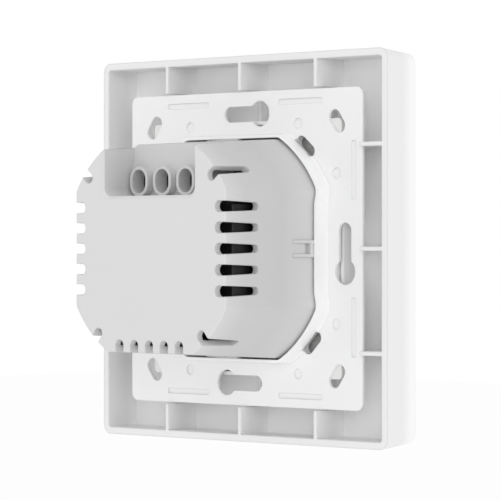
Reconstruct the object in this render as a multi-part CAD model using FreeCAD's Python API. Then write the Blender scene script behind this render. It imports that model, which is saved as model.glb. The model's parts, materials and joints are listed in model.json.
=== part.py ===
import FreeCAD, Part
import math
import os

# Smart roller shutter switch, in millimetres.
# The keys face -Y, the housing that goes into the wall box points to +Y, and +Z is up.
# The origin is the centre of the mounting strap's rear face.
# Left and right are given as seen from the front, so +X is right.

V = FreeCAD.Vector

# Clearances
SEAT_GAP = 0.3
SLIDE_GAP = 0.1
RUNNING_GAP = 0.05
FREE_PLAY = 0.05

# Cover frame
FRAME_SIDE = 86.0
FRAME_DEPTH = 11.0
FRAME_TAPER = 0.875
FRAME_WALL = 1.6
FRAME_PLATE = 2.0
FRAME_CORNER_R = 2.25
FRAME_EDGE_R = 0.9
FRAME_RIM_BEHIND_STRAP = 1.3
FRAME_RIB = 0.95
FRAME_RIB_PITCH = 22.5
FRAME_RIB_LOW = 2.2
WINDOW_SIDE = 55.0
WINDOW_CORNER_R = 0.5
WINDOW_WALL = 0.9
WINDOW_WALL_GAP = 0.7

# Mounting strap
STRAP_SIDE = 70.0
STRAP_SHEET = 0.7
STRAP_CORNER_R = 1.8
OPENING_HALF = 24.4
OPENING_R = 28.1
OUTLINE_BLEND_R = 1.8
OUTLINE_BULGE = 0.45
OUTLINE_BULGE_REAR = 0.03
OUTLINE_STEP = 3.0
OUTLINE_STEP_INSET = 0.4
COLLAR_DEPTH = 3.8
COLLAR_ROOT_R = 0.5
SCREW_SPACING = 60.0
KEYHOLE_HEAD_R = 2.85
KEYHOLE_HEAD_SHIFT = 5.0
KEYHOLE_NECK_R = 1.75
KEYHOLE_NECK_SHIFT = 3.9
CORNER_SLOT_PLACE = 27.7
CORNER_SLOT_CENTRES = 2.4
CORNER_SLOT_R = 1.6
CORNER_SLOT_ANGLE = 55.0
BRACE_SLOT_REACH = 29.05
BRACE_SLOT_ANGLE_TOP = 50.3
BRACE_SLOT_ANGLE_BOTTOM = -45.0
BRACE_SLOT_CENTRES = 3.1
BRACE_SLOT_R = 1.45
BRACE_SLOT_CUT = 0.9
STRAP_GROOVE_FROM_EDGE = 2.6
STRAP_GROOVE_START = 10.6
STRAP_GROOVE_END = 23.4
STRAP_GROOVE_WIDTH = 1.2
STRAP_GROOVE_CORNER_R = 0.3
STRAP_GROOVE_DEPTH = 0.35
DIMPLE_R = 1.15
DIMPLE_DEPTH = 0.35
DIMPLE_NEAR = 16.4
DIMPLE_FAR = 27.5

# Rear housing
HOUSING_DEPTH = 30.0
HOUSING_WALL = 1.6
HOUSING_GAP_SIDE = 0.6
HOUSING_GAP_TOP = 0.4
HOUSING_GAP_R = 0.7
HOUSING_DRAFT_SIDE = 1.2
HOUSING_DRAFT_TOP = 1.5
HOUSING_DRAFT_R = 1.5
HOUSING_EDGE_R = 0.4
VENT_COUNT = 5
VENT_PITCH = 4.5
VENT_WIDTH = 2.45
VENT_END_WIDTH = 1.7
VENT_LENGTH = 9.85
VENT_INSET_SIDE = 3.05
VENT_INSET_BOTTOM = 2.7
NOTCH_WIDTH = 2.75
NOTCH_INSET = 2.7
NOTCH_ANGLE_TOP = 40.0
NOTCH_ANGLE_BOTTOM = 50.0
CLIP_RAIL = 0.75
CLIP_WIDTH = 3.0
CLIP_LENGTH = 6.1
CLIP_PAD = 1.2
CLIP_PAD_PROUD = 1.0
CLIP_END_PROUD = 0.25
CLIP_GROOVE = 1.1
CLIP_GROOVE_DEPTH = 0.7
LEDGE_PLACE = 11.6
LEDGE_WIDTH = 1.2
LEDGE_REACH = 1.75

# Terminal recess and terminals
RECESS_HALF = 13.65
RECESS_X = 0.5
RECESS_BOTTOM = 11.5
RECESS_DEPTH = 9.8
RECESS_WALL = 1.4
RECESS_CORNER_R = 1.8
RECESS_EDGE = 0.6
POLE_COUNT = 4
POLE_PITCH = 7.1
WIRE_HOLE_WIDTH = 4.05
WIRE_HOLE_HEIGHT = 5.2
WIRE_HOLE_Z = 14.8
WIRE_COLLAR_WALL = 0.72
WIRE_COLLAR_HEIGHT = 2.2
WIRE_NIB = 0.6
WIRE_NIB_HEIGHT = 1.8
WIRE_NIB_DROP = 0.35
TERMINAL_SKIN = 0.8
TERMINAL_TOP_SKIN = 0.7
TERMINAL_CHAMFER = 1.2
CAGE_WIDTH = 5.8
CAGE_SIDE = 0.8
CAGE_LENGTH = 6.0
CAGE_FLOOR = 0.9
CAGE_TOP = 0.8
CAGE_TRAVEL = 2.0
CAGE_PLACE_Y = 12.5
CLAMP_OPENING = 3.7
CONTACT_WIDTH = 3.6
CONTACT_SHEET = 0.8
SCREW_R = 1.5
SCREW_HEAD_R = 1.95
SCREW_HEAD_HEIGHT = 1.1
SCREW_SLOT = 0.7
SCREW_SLOT_DEPTH = 0.6
DRIVER_HOLE_R = 1.7

# Power board and what stands on it
POWER_BOARD_Y = 4.0
BOARD_SHEET = 1.6
BOARD_WALL_GAP = 0.5
BOARD_BLEND_R = 0.5
RELAY_WIDTH = 10.2
RELAY_LENGTH = 20.2
RELAY_HEIGHT = 19.6
RELAY_TOP_Z = 9.8
RELAY_WALL_GAP = 1.8
RELAY_SPACING = 0.4
RELAY_EDGE_R = 0.5
TRANSFORMER_X = 8.6
TRANSFORMER_Z = 3.2
TRANSFORMER_WIDTH = 12.8
TRANSFORMER_LENGTH = 12.4
TRANSFORMER_CORE = 4.0
TRANSFORMER_LEG = 2.6
TRANSFORMER_HEIGHT = 11.6
BOBBIN_SKIN = 0.8
WINDING_R = 4.0
BOX_CAPACITOR = (13.0, 10.5, 5.0)
BOX_CAPACITOR_X = 8.6
BOX_CAPACITOR_Z = -7.2
VARISTOR_R = 3.8
VARISTOR_THICKNESS = 3.2
VARISTOR_X = 18.2
VARISTOR_Z = 1.5
INPUT_CAPACITOR_R = 4.0
INPUT_CAPACITOR_HEIGHT = 12.0
INPUT_CAPACITOR_PLACE = (-9.8, -15.4)
OUTPUT_CAPACITOR_R = 3.15
OUTPUT_CAPACITOR_HEIGHT = 8.0
OUTPUT_CAPACITOR_PLACE = (-1.4, -15.4)
INDUCTOR_R = 3.0
INDUCTOR_HEIGHT = 8.0
INDUCTOR_PLACE = (6.2, -15.4)
INDUCTOR_FLANGE = 0.8
INDUCTOR_WAIST = 0.5
FUSE_R = 1.7
FUSE_LENGTH = 8.0
FUSE_PLACE = (12.6, -14.8)
RECTIFIER = (5.0, 2.6, 4.0)
RECTIFIER_X = 18.2
RECTIFIER_Z = -6.6

# Front tray, key carrier and keys
TRAY_BASE = 1.2
TRAY_WALL = 1.2
TRAY_DEPTH = 5.0
TRAY_OPENING_HALF = 18.5
TRAY_OPENING_R = 3.0
TRAY_CORNER_R = 0.9
TRAY_EAR_FROM = 15.0
TRAY_EAR_SHEET = 0.45
TRAY_EAR_CORNER_R = 1.0
TRAY_PAD = 4.0
TRAY_PAD_HEIGHT = 0.8
TRAY_POST_R = 1.1
TRAY_POST_INSET = 1.2
TRAY_CLIP_WIDTH = 6.0
ARM_WIDTH = 3.2
ARM_SHEET = 0.9
ARM_LENGTH = 8.6
ARM_HOOK = 0.5
ARM_HOOK_LENGTH = 1.4
ARM_CUT_REACH = 5.0
CARRIER_SHEET = 1.0
KEY_COUNT = 3
KEY_GAP = 0.4
KEY_PROUD = 0.8
KEY_SHEET = 1.6
KEY_SKIRT = 1.0
KEY_TRAVEL = 0.35
KEY_CORNER_R = 0.8
KEY_EDGE_R = 0.45
KEY_STEM_R = 2.0
KEY_LEG = (2.2, 1.4)
KEY_LEG_X = 22.5
KEY_LEG_Z = 5.6
KEY_LEG_HOOK = 0.4
KEY_LEG_HOOK_LENGTH = 0.7
SYMBOL_SIZE = 5.0
SYMBOL_DEPTH = 0.3
STOP_SIZE = 3.8
LIGHT_GUIDE_R = 1.1
LIGHT_GUIDE_FLANGE_R = 1.7
LIGHT_GUIDE_FLANGE = 0.6
LIGHT_GUIDE_GAP = 0.02
LIGHT_Z = 5.4

# Control board and what stands on it
CONTROL_SHEET = 1.2
CONTROL_GAP = 0.4
TACT_SIDE = 6.0
TACT_HEIGHT = 3.0
TACT_EDGE_R = 0.4
PLUNGER_R = 1.7
PLUNGER_PROUD = 0.8
PLUNGER_INSIDE = 1.6
LED_SIZE = (1.6, 0.8, 1.2)
RADIO_SIZE = (16.0, 24.0)
RADIO_SHEET = 0.8
RADIO_X = -6.5
RADIO_Z = 4.0
SHIELD_SIZE = (14.4, 16.0)
SHIELD_HEIGHT = 2.2
SHIELD_SHEET = 0.25
HEADER_PITCH = 2.54
HEADER_COLUMNS = 4
HEADER_ROWS = 2
HEADER_X = 10.0
HEADER_Z = 0.0
HEADER_HEIGHT = 2.5
PIN_SIDE = 0.64
PIN_TIP_GAP = 0.5

# Planes along Y that the pieces share
STRAP_FRONT_Y = -STRAP_SHEET
RIM_Y = FRAME_RIM_BEHIND_STRAP
FRAME_FRONT_Y = RIM_Y - FRAME_DEPTH
FRAME_FLOOR_Y = FRAME_FRONT_Y + FRAME_PLATE
HOUSING_REAR_Y = HOUSING_DEPTH
HOUSING_INNER_Y = HOUSING_REAR_Y - HOUSING_WALL
HOUSING_STRAIGHT_Y = COLLAR_DEPTH - 0.2
RECESS_FLOOR_Y = HOUSING_REAR_Y - RECESS_DEPTH
TERMINAL_REAR_Y = RECESS_FLOOR_Y - HOUSING_WALL
POWER_REAR_Y = POWER_BOARD_Y + BOARD_SHEET
TRAY_FLOOR_Y = STRAP_FRONT_Y - TRAY_BASE
TRAY_FRONT_Y = STRAP_FRONT_Y - TRAY_DEPTH
CARRIER_FRONT_Y = TRAY_FRONT_Y - CARRIER_SHEET
CONTROL_REAR_Y = TRAY_FLOOR_Y - TRAY_PAD_HEIGHT
CONTROL_FRONT_Y = CONTROL_REAR_Y - CONTROL_SHEET
KEY_FRONT_Y = FRAME_FRONT_Y - KEY_PROUD
KEY_BACK_Y = KEY_FRONT_Y + KEY_SHEET
KEY_SKIRT_Y = CARRIER_FRONT_Y - KEY_TRAVEL - FREE_PLAY
TACT_FRONT_Y = CONTROL_FRONT_Y - TACT_HEIGHT
PLUNGER_FRONT_Y = TACT_FRONT_Y - PLUNGER_PROUD

# Places across the part that the pieces share
STRAP_HALF = STRAP_SIDE / 2
WINDOW_HALF = WINDOW_SIDE / 2
TRAY_HALF = WINDOW_HALF - SEAT_GAP
KEY_HALF = WINDOW_HALF - KEY_GAP
KEY_HEIGHT = (2 * KEY_HALF - (KEY_COUNT - 1) * KEY_GAP) / KEY_COUNT
KEY_PITCH = KEY_HEIGHT + KEY_GAP
KEY_NAMES = ("up", "stop", "down")
KEY_CENTRES = [KEY_PITCH * (1 - index) for index in range(KEY_COUNT)]
POLES_X = [POLE_PITCH * (index - (POLE_COUNT - 1) / 2) for index in range(POLE_COUNT)]
WIRE_HOLE_BOTTOM = WIRE_HOLE_Z - WIRE_HOLE_HEIGHT / 2
CONTACT_BOTTOM = WIRE_HOLE_BOTTOM + CLAMP_OPENING
CONTACT_TOP = CONTACT_BOTTOM + CONTACT_SHEET
CAGE_BOTTOM = WIRE_HOLE_BOTTOM - CAGE_FLOOR
CAGE_CEILING = CONTACT_TOP + SLIDE_GAP
CAGE_CROWN = CAGE_CEILING + CAGE_TOP
CAVITY_TOP = CAGE_CROWN + CAGE_TRAVEL + SLIDE_GAP
TERMINAL_TOP = CAVITY_TOP + TERMINAL_TOP_SKIN
TERMINAL_BOTTOM = CAGE_BOTTOM - SLIDE_GAP - TERMINAL_SKIN
CAVITY_HALF = CAGE_WIDTH / 2 + SLIDE_GAP
TERMINAL_HALF = POLES_X[-1] + CAVITY_HALF + TERMINAL_SKIN


def block(x0, x1, y0, y1, z0, z1):
    return Part.makeBox(x1 - x0, y1 - y0, z1 - z0, V(x0, y0, z0))


def centred_block(x, z, width, height, y0, y1):
    return block(x - width / 2, x + width / 2, y0, y1, z - height / 2, z + height / 2)


def rod_y(x, z, radius, y0, y1):
    return Part.makeCylinder(radius, y1 - y0, V(x, y0, z), V(0, 1, 0))


def rod_z(x, y, radius, z0, z1):
    return Part.makeCylinder(radius, z1 - z0, V(x, y, z0), V(0, 0, 1))


def turned(shape, degrees):
    # Positive turns go from +Z towards +X, about the axis through the origin along Y.
    copy = shape.copy()
    copy.rotate(V(0, 0, 0), V(0, 1, 0), degrees)
    return copy


def extruded(wire, depth):
    return Part.Face(wire).extrude(V(0, depth, 0))


def polygon_block(points, y0, y1):
    corners = [V(x, y0, z) for x, z in points]
    return extruded(Part.makePolygon(corners + corners[:1]), y1 - y0)


def rounded_square(half_x, half_z, radius, y, x=0.0, z=0.0):
    # A closed outline in the plane at y, with its four corners rounded.
    edges = []
    inner_x = half_x - radius
    inner_z = half_z - radius
    diagonal = radius * math.sqrt(0.5)
    corners = ((1, 1), (-1, 1), (-1, -1), (1, -1))
    previous = V(x + half_x, y, z - inner_z)
    for sign_x, sign_z in corners:
        on_side = V(x + sign_x * half_x, y, z + sign_z * inner_z)
        on_top = V(x + sign_x * inner_x, y, z + sign_z * half_z)
        middle = V(x + sign_x * (inner_x + diagonal), y, z + sign_z * (inner_z + diagonal))
        first, last = (on_side, on_top) if sign_x == sign_z else (on_top, on_side)
        edges.append(Part.LineSegment(previous, first).toShape())
        edges.append(Part.Arc(first, middle, last).toShape())
        previous = last
    return Part.Wire(edges)


def rounded_block(half_x, half_z, radius, y0, y1, x=0.0, z=0.0):
    return extruded(rounded_square(half_x, half_z, radius, y0, x, z), y1 - y0)


def slot_block(x, z, centres, radius, degrees, y0, y1):
    # A slot with round ends; degrees is the lean of its long axis from +X towards +Z.
    along = V(math.cos(math.radians(degrees)), 0, math.sin(math.radians(degrees)))
    across = V(-along.z, 0, along.x)
    middle = V(x, y0, z)
    tip_a = middle + along * (centres / 2)
    tip_b = middle - along * (centres / 2)
    edges = [
        Part.LineSegment(tip_b - across * radius, tip_a - across * radius).toShape(),
        Part.Arc(tip_a - across * radius, tip_a + along * radius, tip_a + across * radius).toShape(),
        Part.LineSegment(tip_a + across * radius, tip_b + across * radius).toShape(),
        Part.Arc(tip_b + across * radius, tip_b - along * radius, tip_b - across * radius).toShape(),
    ]
    return extruded(Part.Wire(edges), y1 - y0)


def blend_arc(centre, flat, radius, corner_r):
    # Three points of the small arc from the flat side's direction to the circle's direction.
    outward = V(centre).normalize()
    between = (flat + outward).normalize()
    return centre + flat * corner_r, centre + between * corner_r, outward * radius


def soft_step(start, end, along, rise):
    # Two arcs that lead softly from one level to the next.
    length = (end - start).dot(along)
    radius = (length ** 2 + rise.Length ** 2) / (4 * rise.Length)
    sag = radius - math.sqrt(radius ** 2 - (length / 4) ** 2)
    lift = V(rise).normalize() * sag
    middle = (start + end) * 0.5
    return [Part.Arc(start, start + along * (length / 4) + lift, middle).toShape(),
            Part.Arc(middle, end - along * (length / 4) - lift, end).toShape()]


def side_edges(start, end, bulge):
    # One side of the outline: straight, or with its long middle part sunk a little.
    if bulge == 0:
        return [Part.LineSegment(start, end).toShape()]
    middle = (start + end) * 0.5
    along = (end - start).normalize()
    sunk = (V(0, middle.y, 0) - middle).normalize() * bulge
    far = (end - start).Length / 2 - OUTLINE_STEP_INSET
    near = far - OUTLINE_STEP
    points = [middle - along * far, middle - along * near + sunk, middle + along * near + sunk, middle + along * far]
    edges = [Part.LineSegment(start, points[0]).toShape()]
    edges += soft_step(points[0], points[1], along, sunk)
    edges.append(Part.LineSegment(points[1], points[2]).toShape())
    edges += soft_step(points[2], points[3], along, sunk * -1)
    edges.append(Part.LineSegment(points[3], end).toShape())
    return edges


def clipped_square(half_x, half_z, radius, corner_r, y, bulge=0.0):
    # A square whose corners are cut off by a circle about the origin, with the turns blended.
    # The two sides that face along X bulge out a little next to the turns.
    half_x = half_x + bulge
    side_z = math.sqrt((radius - corner_r) ** 2 - (half_x - corner_r) ** 2)
    top_x = math.sqrt((radius - corner_r) ** 2 - (half_z - corner_r) ** 2)
    diagonal = radius * math.sqrt(0.5)
    lift = V(0, y, 0)
    edges = []
    previous = V(half_x, 0, -side_z)
    for sign_x, sign_z in ((1, 1), (-1, 1), (-1, -1), (1, -1)):
        at_side = V(sign_x * (half_x - corner_r), 0, sign_z * side_z)
        at_top = V(sign_x * top_x, 0, sign_z * (half_z - corner_r))
        side_arc = blend_arc(at_side, V(sign_x, 0, 0), radius, corner_r)
        top_arc = blend_arc(at_top, V(0, 0, sign_z), radius, corner_r)
        first, last = (side_arc, top_arc) if sign_x == sign_z else (top_arc, side_arc)
        middle = V(sign_x * diagonal, 0, sign_z * diagonal)
        edges += side_edges(previous + lift, first[0] + lift, bulge if sign_x == sign_z else 0.0)
        edges.append(Part.Arc(first[0] + lift, first[1] + lift, first[2] + lift).toShape())
        edges.append(Part.Arc(first[2] + lift, middle + lift, last[2] + lift).toShape())
        edges.append(Part.Arc(last[2] + lift, last[1] + lift, last[0] + lift).toShape())
        previous = last[0]
    return Part.Wire(edges)


def opening_outline(grow, y):
    return clipped_square(
        OPENING_HALF + grow, OPENING_HALF + grow, OPENING_R + grow, OUTLINE_BLEND_R + grow, y, OUTLINE_BULGE)


def with_round_edges(solid, radius, chosen):
    edges = [edge for edge in solid.Edges if chosen(edge)]
    return solid.makeFillet(radius, edges)


def edge_lies_on(y):
    def chosen(edge):
        box = edge.BoundBox
        return abs(box.YMin - y) < 1e-4 and abs(box.YMax - y) < 1e-4
    return chosen


def joined(shapes):
    shapes = list(shapes)
    return shapes[0].multiFuse(shapes[1:]).removeSplitter()


def housing_shares(y):
    # Half widths and corner radius of the housing's outer wall at the height y.
    share = max(0.0, y - HOUSING_STRAIGHT_Y) / (HOUSING_REAR_Y - HOUSING_STRAIGHT_Y)
    half_x = OPENING_HALF - HOUSING_GAP_SIDE - share * HOUSING_DRAFT_SIDE
    half_z = OPENING_HALF - HOUSING_GAP_TOP - share * HOUSING_DRAFT_TOP
    radius = OPENING_R - HOUSING_GAP_R - share * HOUSING_DRAFT_R
    return half_x, half_z, radius


def housing_form(inset, y0, y1):
    sections = []
    for y, bulge in ((y0, OUTLINE_BULGE), (HOUSING_STRAIGHT_Y, OUTLINE_BULGE), (y1, OUTLINE_BULGE_REAR)):
        half_x, half_z, radius = housing_shares(y)
        sections.append(clipped_square(
            half_x - inset, half_z - inset, radius - inset, OUTLINE_BLEND_R - inset, y, bulge))
    return Part.makeLoft(sections, True, True)


def wire_hole(x, widen, y0, y1):
    radius = WIRE_HOLE_WIDTH / 2 + widen
    centres = WIRE_HOLE_HEIGHT - WIRE_HOLE_WIDTH
    return slot_block(x, WIRE_HOLE_Z, centres, radius, 90, y0, y1)


# Cover frame
def frame_ribs():
    inner = WINDOW_HALF + WINDOW_WALL / 2
    outer = FRAME_SIDE / 2 - FRAME_WALL / 2
    step = STRAP_HALF + SEAT_GAP
    low_y = FRAME_FLOOR_Y + FRAME_RIB_LOW
    ribs = []
    for side in range(4):
        for place in (-FRAME_RIB_PITCH, 0.0, FRAME_RIB_PITCH):
            left = place - FRAME_RIB / 2
            right = place + FRAME_RIB / 2
            low = block(left, right, FRAME_FLOOR_Y - FRAME_PLATE / 2, low_y, inner, outer)
            high = block(left, right, FRAME_FLOOR_Y, RIM_Y, step, outer)
            ribs.append(turned(low.fuse(high), 90 * side))
    return ribs


def outer_frame():
    half = FRAME_SIDE / 2
    front_half = half - FRAME_TAPER
    rear = rounded_square(half, half, FRAME_CORNER_R, RIM_Y)
    front = rounded_square(front_half, front_half, FRAME_CORNER_R, FRAME_FRONT_Y)
    shell = Part.makeLoft([front, rear], True, True)
    shell = with_round_edges(shell, FRAME_EDGE_R, edge_lies_on(FRAME_FRONT_Y))
    inner_half = half - FRAME_WALL
    inner_r = FRAME_CORNER_R - FRAME_WALL
    hollow = rounded_block(inner_half, inner_half, inner_r, FRAME_FLOOR_Y, RIM_Y + 1)
    window_outer = WINDOW_HALF + WINDOW_WALL
    window_rear = STRAP_FRONT_Y - WINDOW_WALL_GAP
    window = rounded_block(
        window_outer, window_outer, WINDOW_CORNER_R + WINDOW_WALL, FRAME_FRONT_Y + FRAME_PLATE / 2, window_rear)
    opening = rounded_block(WINDOW_HALF, WINDOW_HALF, WINDOW_CORNER_R, FRAME_FRONT_Y - 1, RIM_Y + 1)
    frame = joined([shell.cut(hollow), window] + frame_ribs())
    return frame.cut(opening)


# Mounting strap
def keyhole(y0, y1):
    reach = SCREW_SPACING / 2
    head = rod_y(-KEYHOLE_HEAD_SHIFT, reach, KEYHOLE_HEAD_R, y0, y1)
    length = KEYHOLE_HEAD_SHIFT + KEYHOLE_NECK_SHIFT
    middle = (KEYHOLE_NECK_SHIFT - KEYHOLE_HEAD_SHIFT) / 2
    neck = slot_block(middle, reach, length, KEYHOLE_NECK_R, 0, y0, y1)
    return head.fuse(neck)


def brace_slots(y0, y1):
    slots = []
    for sign_x in (-1, 1):
        for degrees in (BRACE_SLOT_ANGLE_TOP, BRACE_SLOT_ANGLE_BOTTOM):
            x = sign_x * BRACE_SLOT_REACH * math.cos(math.radians(degrees))
            z = BRACE_SLOT_REACH * math.sin(math.radians(degrees))
            lean = sign_x * (degrees - 90)
            slots.append(slot_block(x, z, BRACE_SLOT_CENTRES, BRACE_SLOT_R, lean, y0, y1))
    return slots


def strap_cutters():
    y0 = STRAP_FRONT_Y - 1
    y1 = 1.0
    cutters = brace_slots(y0, BRACE_SLOT_CUT)
    for side in range(4):
        cutters.append(turned(keyhole(y0, y1), 90 * side))
    for sign_x in (-1, 1):
        for sign_z in (-1, 1):
            lean = -sign_x * sign_z * CORNER_SLOT_ANGLE
            cutters.append(slot_block(
                sign_x * CORNER_SLOT_PLACE, sign_z * CORNER_SLOT_PLACE,
                CORNER_SLOT_CENTRES, CORNER_SLOT_R, lean, y0, y1))
            for x, z in ((DIMPLE_NEAR, DIMPLE_FAR), (DIMPLE_FAR, DIMPLE_NEAR)):
                cutters.append(rod_y(sign_x * x, sign_z * z, DIMPLE_R, -DIMPLE_DEPTH, y1))
    return cutters


def strap_grooves():
    place = STRAP_HALF - STRAP_GROOVE_FROM_EDGE
    half_length = (STRAP_GROOVE_END - STRAP_GROOVE_START) / 2
    middle = (STRAP_GROOVE_START + STRAP_GROOVE_END) / 2
    grooves = []
    for side in range(4):
        for sign in (-1, 1):
            groove = rounded_block(half_length, STRAP_GROOVE_WIDTH / 2, STRAP_GROOVE_CORNER_R,
                                   -STRAP_GROOVE_DEPTH, 1.0, sign * middle, place)
            grooves.append(turned(groove, 90 * side))
    return grooves


def mounting_strap():
    sheet = rounded_block(STRAP_HALF, STRAP_HALF, STRAP_CORNER_R, STRAP_FRONT_Y, 0.0)
    wall = STRAP_SHEET
    collar = extruded(opening_outline(wall, -wall / 2), COLLAR_DEPTH + wall / 2)
    flare = Part.makeLoft(
        [opening_outline(wall + COLLAR_ROOT_R, -wall / 2), opening_outline(wall, COLLAR_ROOT_R + wall / 4)],
        True, True)
    opening = extruded(opening_outline(0.0, STRAP_FRONT_Y - 1), COLLAR_DEPTH + wall + 2)
    return joined([sheet, collar, flare]).cut([opening] + strap_cutters() + strap_grooves())


# Rear housing
def vent_cutter(place, inset, half_width):
    # One vent at the side that faces +X, open to the rear and outwards.
    root = half_width - inset
    tip = half_width + HOUSING_DRAFT_TOP + 2
    rear = HOUSING_REAR_Y + 1
    end_r = VENT_END_WIDTH / 2
    end_y = HOUSING_REAR_Y - VENT_LENGTH + end_r
    start = root + VENT_WIDTH / 2
    outline = [
        V(start, rear, place - VENT_WIDTH / 2),
        V(start, rear, place + VENT_WIDTH / 2),
        V(start, end_y, place + end_r),
        V(start, end_y, place - end_r),
    ]
    wedge = Part.Face(Part.makePolygon(outline + outline[:1])).extrude(V(tip - start, 0, 0))
    end = Part.makeCylinder(end_r, tip - start, V(start, end_y, place), V(1, 0, 0))
    inner_end = rod_y(start, place, VENT_WIDTH / 2, HOUSING_REAR_Y - HOUSING_WALL * 2, rear)
    return joined([wedge, end, inner_end])


def vent_cutters():
    half_x, half_z, radius = housing_shares(HOUSING_REAR_Y)
    cutters = []
    for index in range(VENT_COUNT):
        place = (index - (VENT_COUNT - 1) / 2) * VENT_PITCH
        cutters.append(vent_cutter(place, VENT_INSET_SIDE, half_x))
        cutters.append(turned(vent_cutter(place, VENT_INSET_SIDE, half_x), 180))
        cutters.append(turned(vent_cutter(place, VENT_INSET_BOTTOM, half_z), 90))
    scale = NOTCH_WIDTH - VENT_WIDTH
    for degrees in (NOTCH_ANGLE_TOP, 180 - NOTCH_ANGLE_TOP, 180 + NOTCH_ANGLE_BOTTOM, -NOTCH_ANGLE_BOTTOM):
        notch = vent_cutter(0.0, NOTCH_INSET + scale / 2, radius)
        cutters.append(turned(notch, -degrees))
    return cutters


def side_half(side, y):
    half_x, half_z, _ = housing_shares(y)
    return half_x if side % 2 == 1 else half_z


def clip_pads():
    # Two rails and a cross pad on the middle of each side, proud of the drafted wall.
    pads = []
    end_y = COLLAR_DEPTH + CLIP_LENGTH
    for side in range(4):
        root = side_half(side, end_y) - HOUSING_WALL / 2
        start_y = HOUSING_STRAIGHT_Y - CLIP_PAD
        end_top = side_half(side, end_y) + CLIP_END_PROUD
        slope = (end_top - OPENING_HALF) / CLIP_LENGTH
        profile = [V(0, start_y, root), V(0, start_y, OPENING_HALF), V(0, COLLAR_DEPTH, OPENING_HALF),
                   V(0, end_y, end_top), V(0, end_y, root)]
        rail_face = Part.Face(Part.makePolygon(profile + profile[:1]))
        for sign in (-1, 1):
            rail = rail_face.extrude(V(CLIP_RAIL, 0, 0))
            rail.translate(V(sign * CLIP_WIDTH / 2 - CLIP_RAIL / 2, 0, 0))
            pads.append(turned(rail, 90 * side))
        pad = block(-CLIP_WIDTH / 2, CLIP_WIDTH / 2, start_y, COLLAR_DEPTH + CLIP_PAD_PROUD, root,
                    OPENING_HALF + slope * CLIP_PAD_PROUD)
        pads.append(turned(pad, 90 * side))
    return pads


def clip_grooves():
    # The sunk band behind each cross pad, between the rails.
    grooves = []
    start_y = COLLAR_DEPTH + CLIP_PAD_PROUD
    half = (CLIP_WIDTH - CLIP_RAIL) / 2
    for side in range(4):
        wall = side_half(side, start_y)
        groove = block(-half, half, start_y, start_y + CLIP_GROOVE, wall - CLIP_GROOVE_DEPTH, OPENING_HALF + 1)
        grooves.append(turned(groove, 90 * side))
    return grooves


def ledge_ribs():
    # The power board's rear face rests on the front ends of these ribs.
    outer = housing_shares(POWER_REAR_Y)[0]
    inner = housing_shares(POWER_REAR_Y)[0] - HOUSING_WALL - LEDGE_REACH
    ribs = []
    for sign_x in (-1, 1):
        for sign_z in (-1, 1):
            x0, x1 = sorted((sign_x * inner, sign_x * outer))
            z = sign_z * LEDGE_PLACE
            ribs.append(block(x0, x1, POWER_REAR_Y, HOUSING_INNER_Y + HOUSING_WALL / 2,
                              z - LEDGE_WIDTH / 2, z + LEDGE_WIDTH / 2))
    return ribs


def recess_block(grow, y0, y1, top):
    half = RECESS_HALF + grow
    low = RECESS_BOTTOM - grow
    radius = RECESS_CORNER_R + grow
    tool = block(RECESS_X - half, RECESS_X + half, y0, y1, low, top)

    def lower_edge(edge):
        box = edge.BoundBox
        return abs(box.ZMin - low) < 1e-4 and abs(box.ZMax - low) < 1e-4 and box.YLength > 1
    return with_round_edges(tool, radius, lower_edge)


def recess_mouth():
    # The eased edge round the mouth of the recess in the rear face.
    sections = []
    for grow, y in ((0.0, HOUSING_REAR_Y - RECESS_EDGE), (RECESS_EDGE, HOUSING_REAR_Y)):
        wide = RECESS_HALF + grow
        height = OPENING_HALF - RECESS_BOTTOM + grow
        sections.append(rounded_square(
            wide, height / 2, RECESS_CORNER_R, y, RECESS_X, RECESS_BOTTOM - grow + height / 2))
    return Part.makeLoft(sections, True, True)


def rear_housing():
    outer = housing_form(0.0, STRAP_FRONT_Y, HOUSING_REAR_Y)
    outer = with_round_edges(outer, HOUSING_EDGE_R, edge_lies_on(HOUSING_REAR_Y))
    cavity = housing_form(HOUSING_WALL, STRAP_FRONT_Y - 1, HOUSING_INNER_Y)
    top = OPENING_HALF + 2
    pocket = recess_block(RECESS_WALL, TERMINAL_REAR_Y, HOUSING_REAR_Y, top)
    shell = outer.cut(cavity.cut(pocket))
    ribs = [rib.common(outer) for rib in ledge_ribs()]
    shell = joined([shell] + ribs + clip_pads())
    cutters = [recess_block(0.0, RECESS_FLOOR_Y, HOUSING_REAR_Y + 1, top), recess_mouth()]
    cutters += vent_cutters() + clip_grooves()
    shell = shell.cut(cutters)
    collars = []
    holes = []
    nibs = []
    for x in POLES_X:
        collar_y = RECESS_FLOOR_Y + WIRE_COLLAR_HEIGHT
        collars.append(wire_hole(x, WIRE_COLLAR_WALL, TERMINAL_REAR_Y, collar_y))
        holes.append(wire_hole(x, 0.0, TERMINAL_REAR_Y - 1, collar_y + 1))
        wall_x = x - WIRE_HOLE_WIDTH / 2
        nib_z = WIRE_HOLE_Z - WIRE_NIB_DROP
        nibs.append(block(wall_x - WIRE_COLLAR_WALL / 2, wall_x + WIRE_NIB, TERMINAL_REAR_Y, collar_y - WIRE_NIB,
                          nib_z - WIRE_NIB_HEIGHT / 2, nib_z + WIRE_NIB_HEIGHT / 2))
        holes.append(rod_z(x, CAGE_PLACE_Y, DRIVER_HOLE_R, TERMINAL_TOP, top))
    shell = joined([shell] + collars).cut(holes)
    shell = joined([shell] + nibs)
    catches = []
    for side in range(4):
        catches.append(turned(arm_catch(side), 90 * side))
    return shell.cut(catches)


def arm_place(side):
    # The arm's outer face clears the drafted wall where the arm ends.
    half_x, half_z, _ = housing_shares(STRAP_FRONT_Y + ARM_LENGTH)
    wall = half_x if side % 2 == 1 else half_z
    return wall - HOUSING_WALL - SLIDE_GAP


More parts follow.
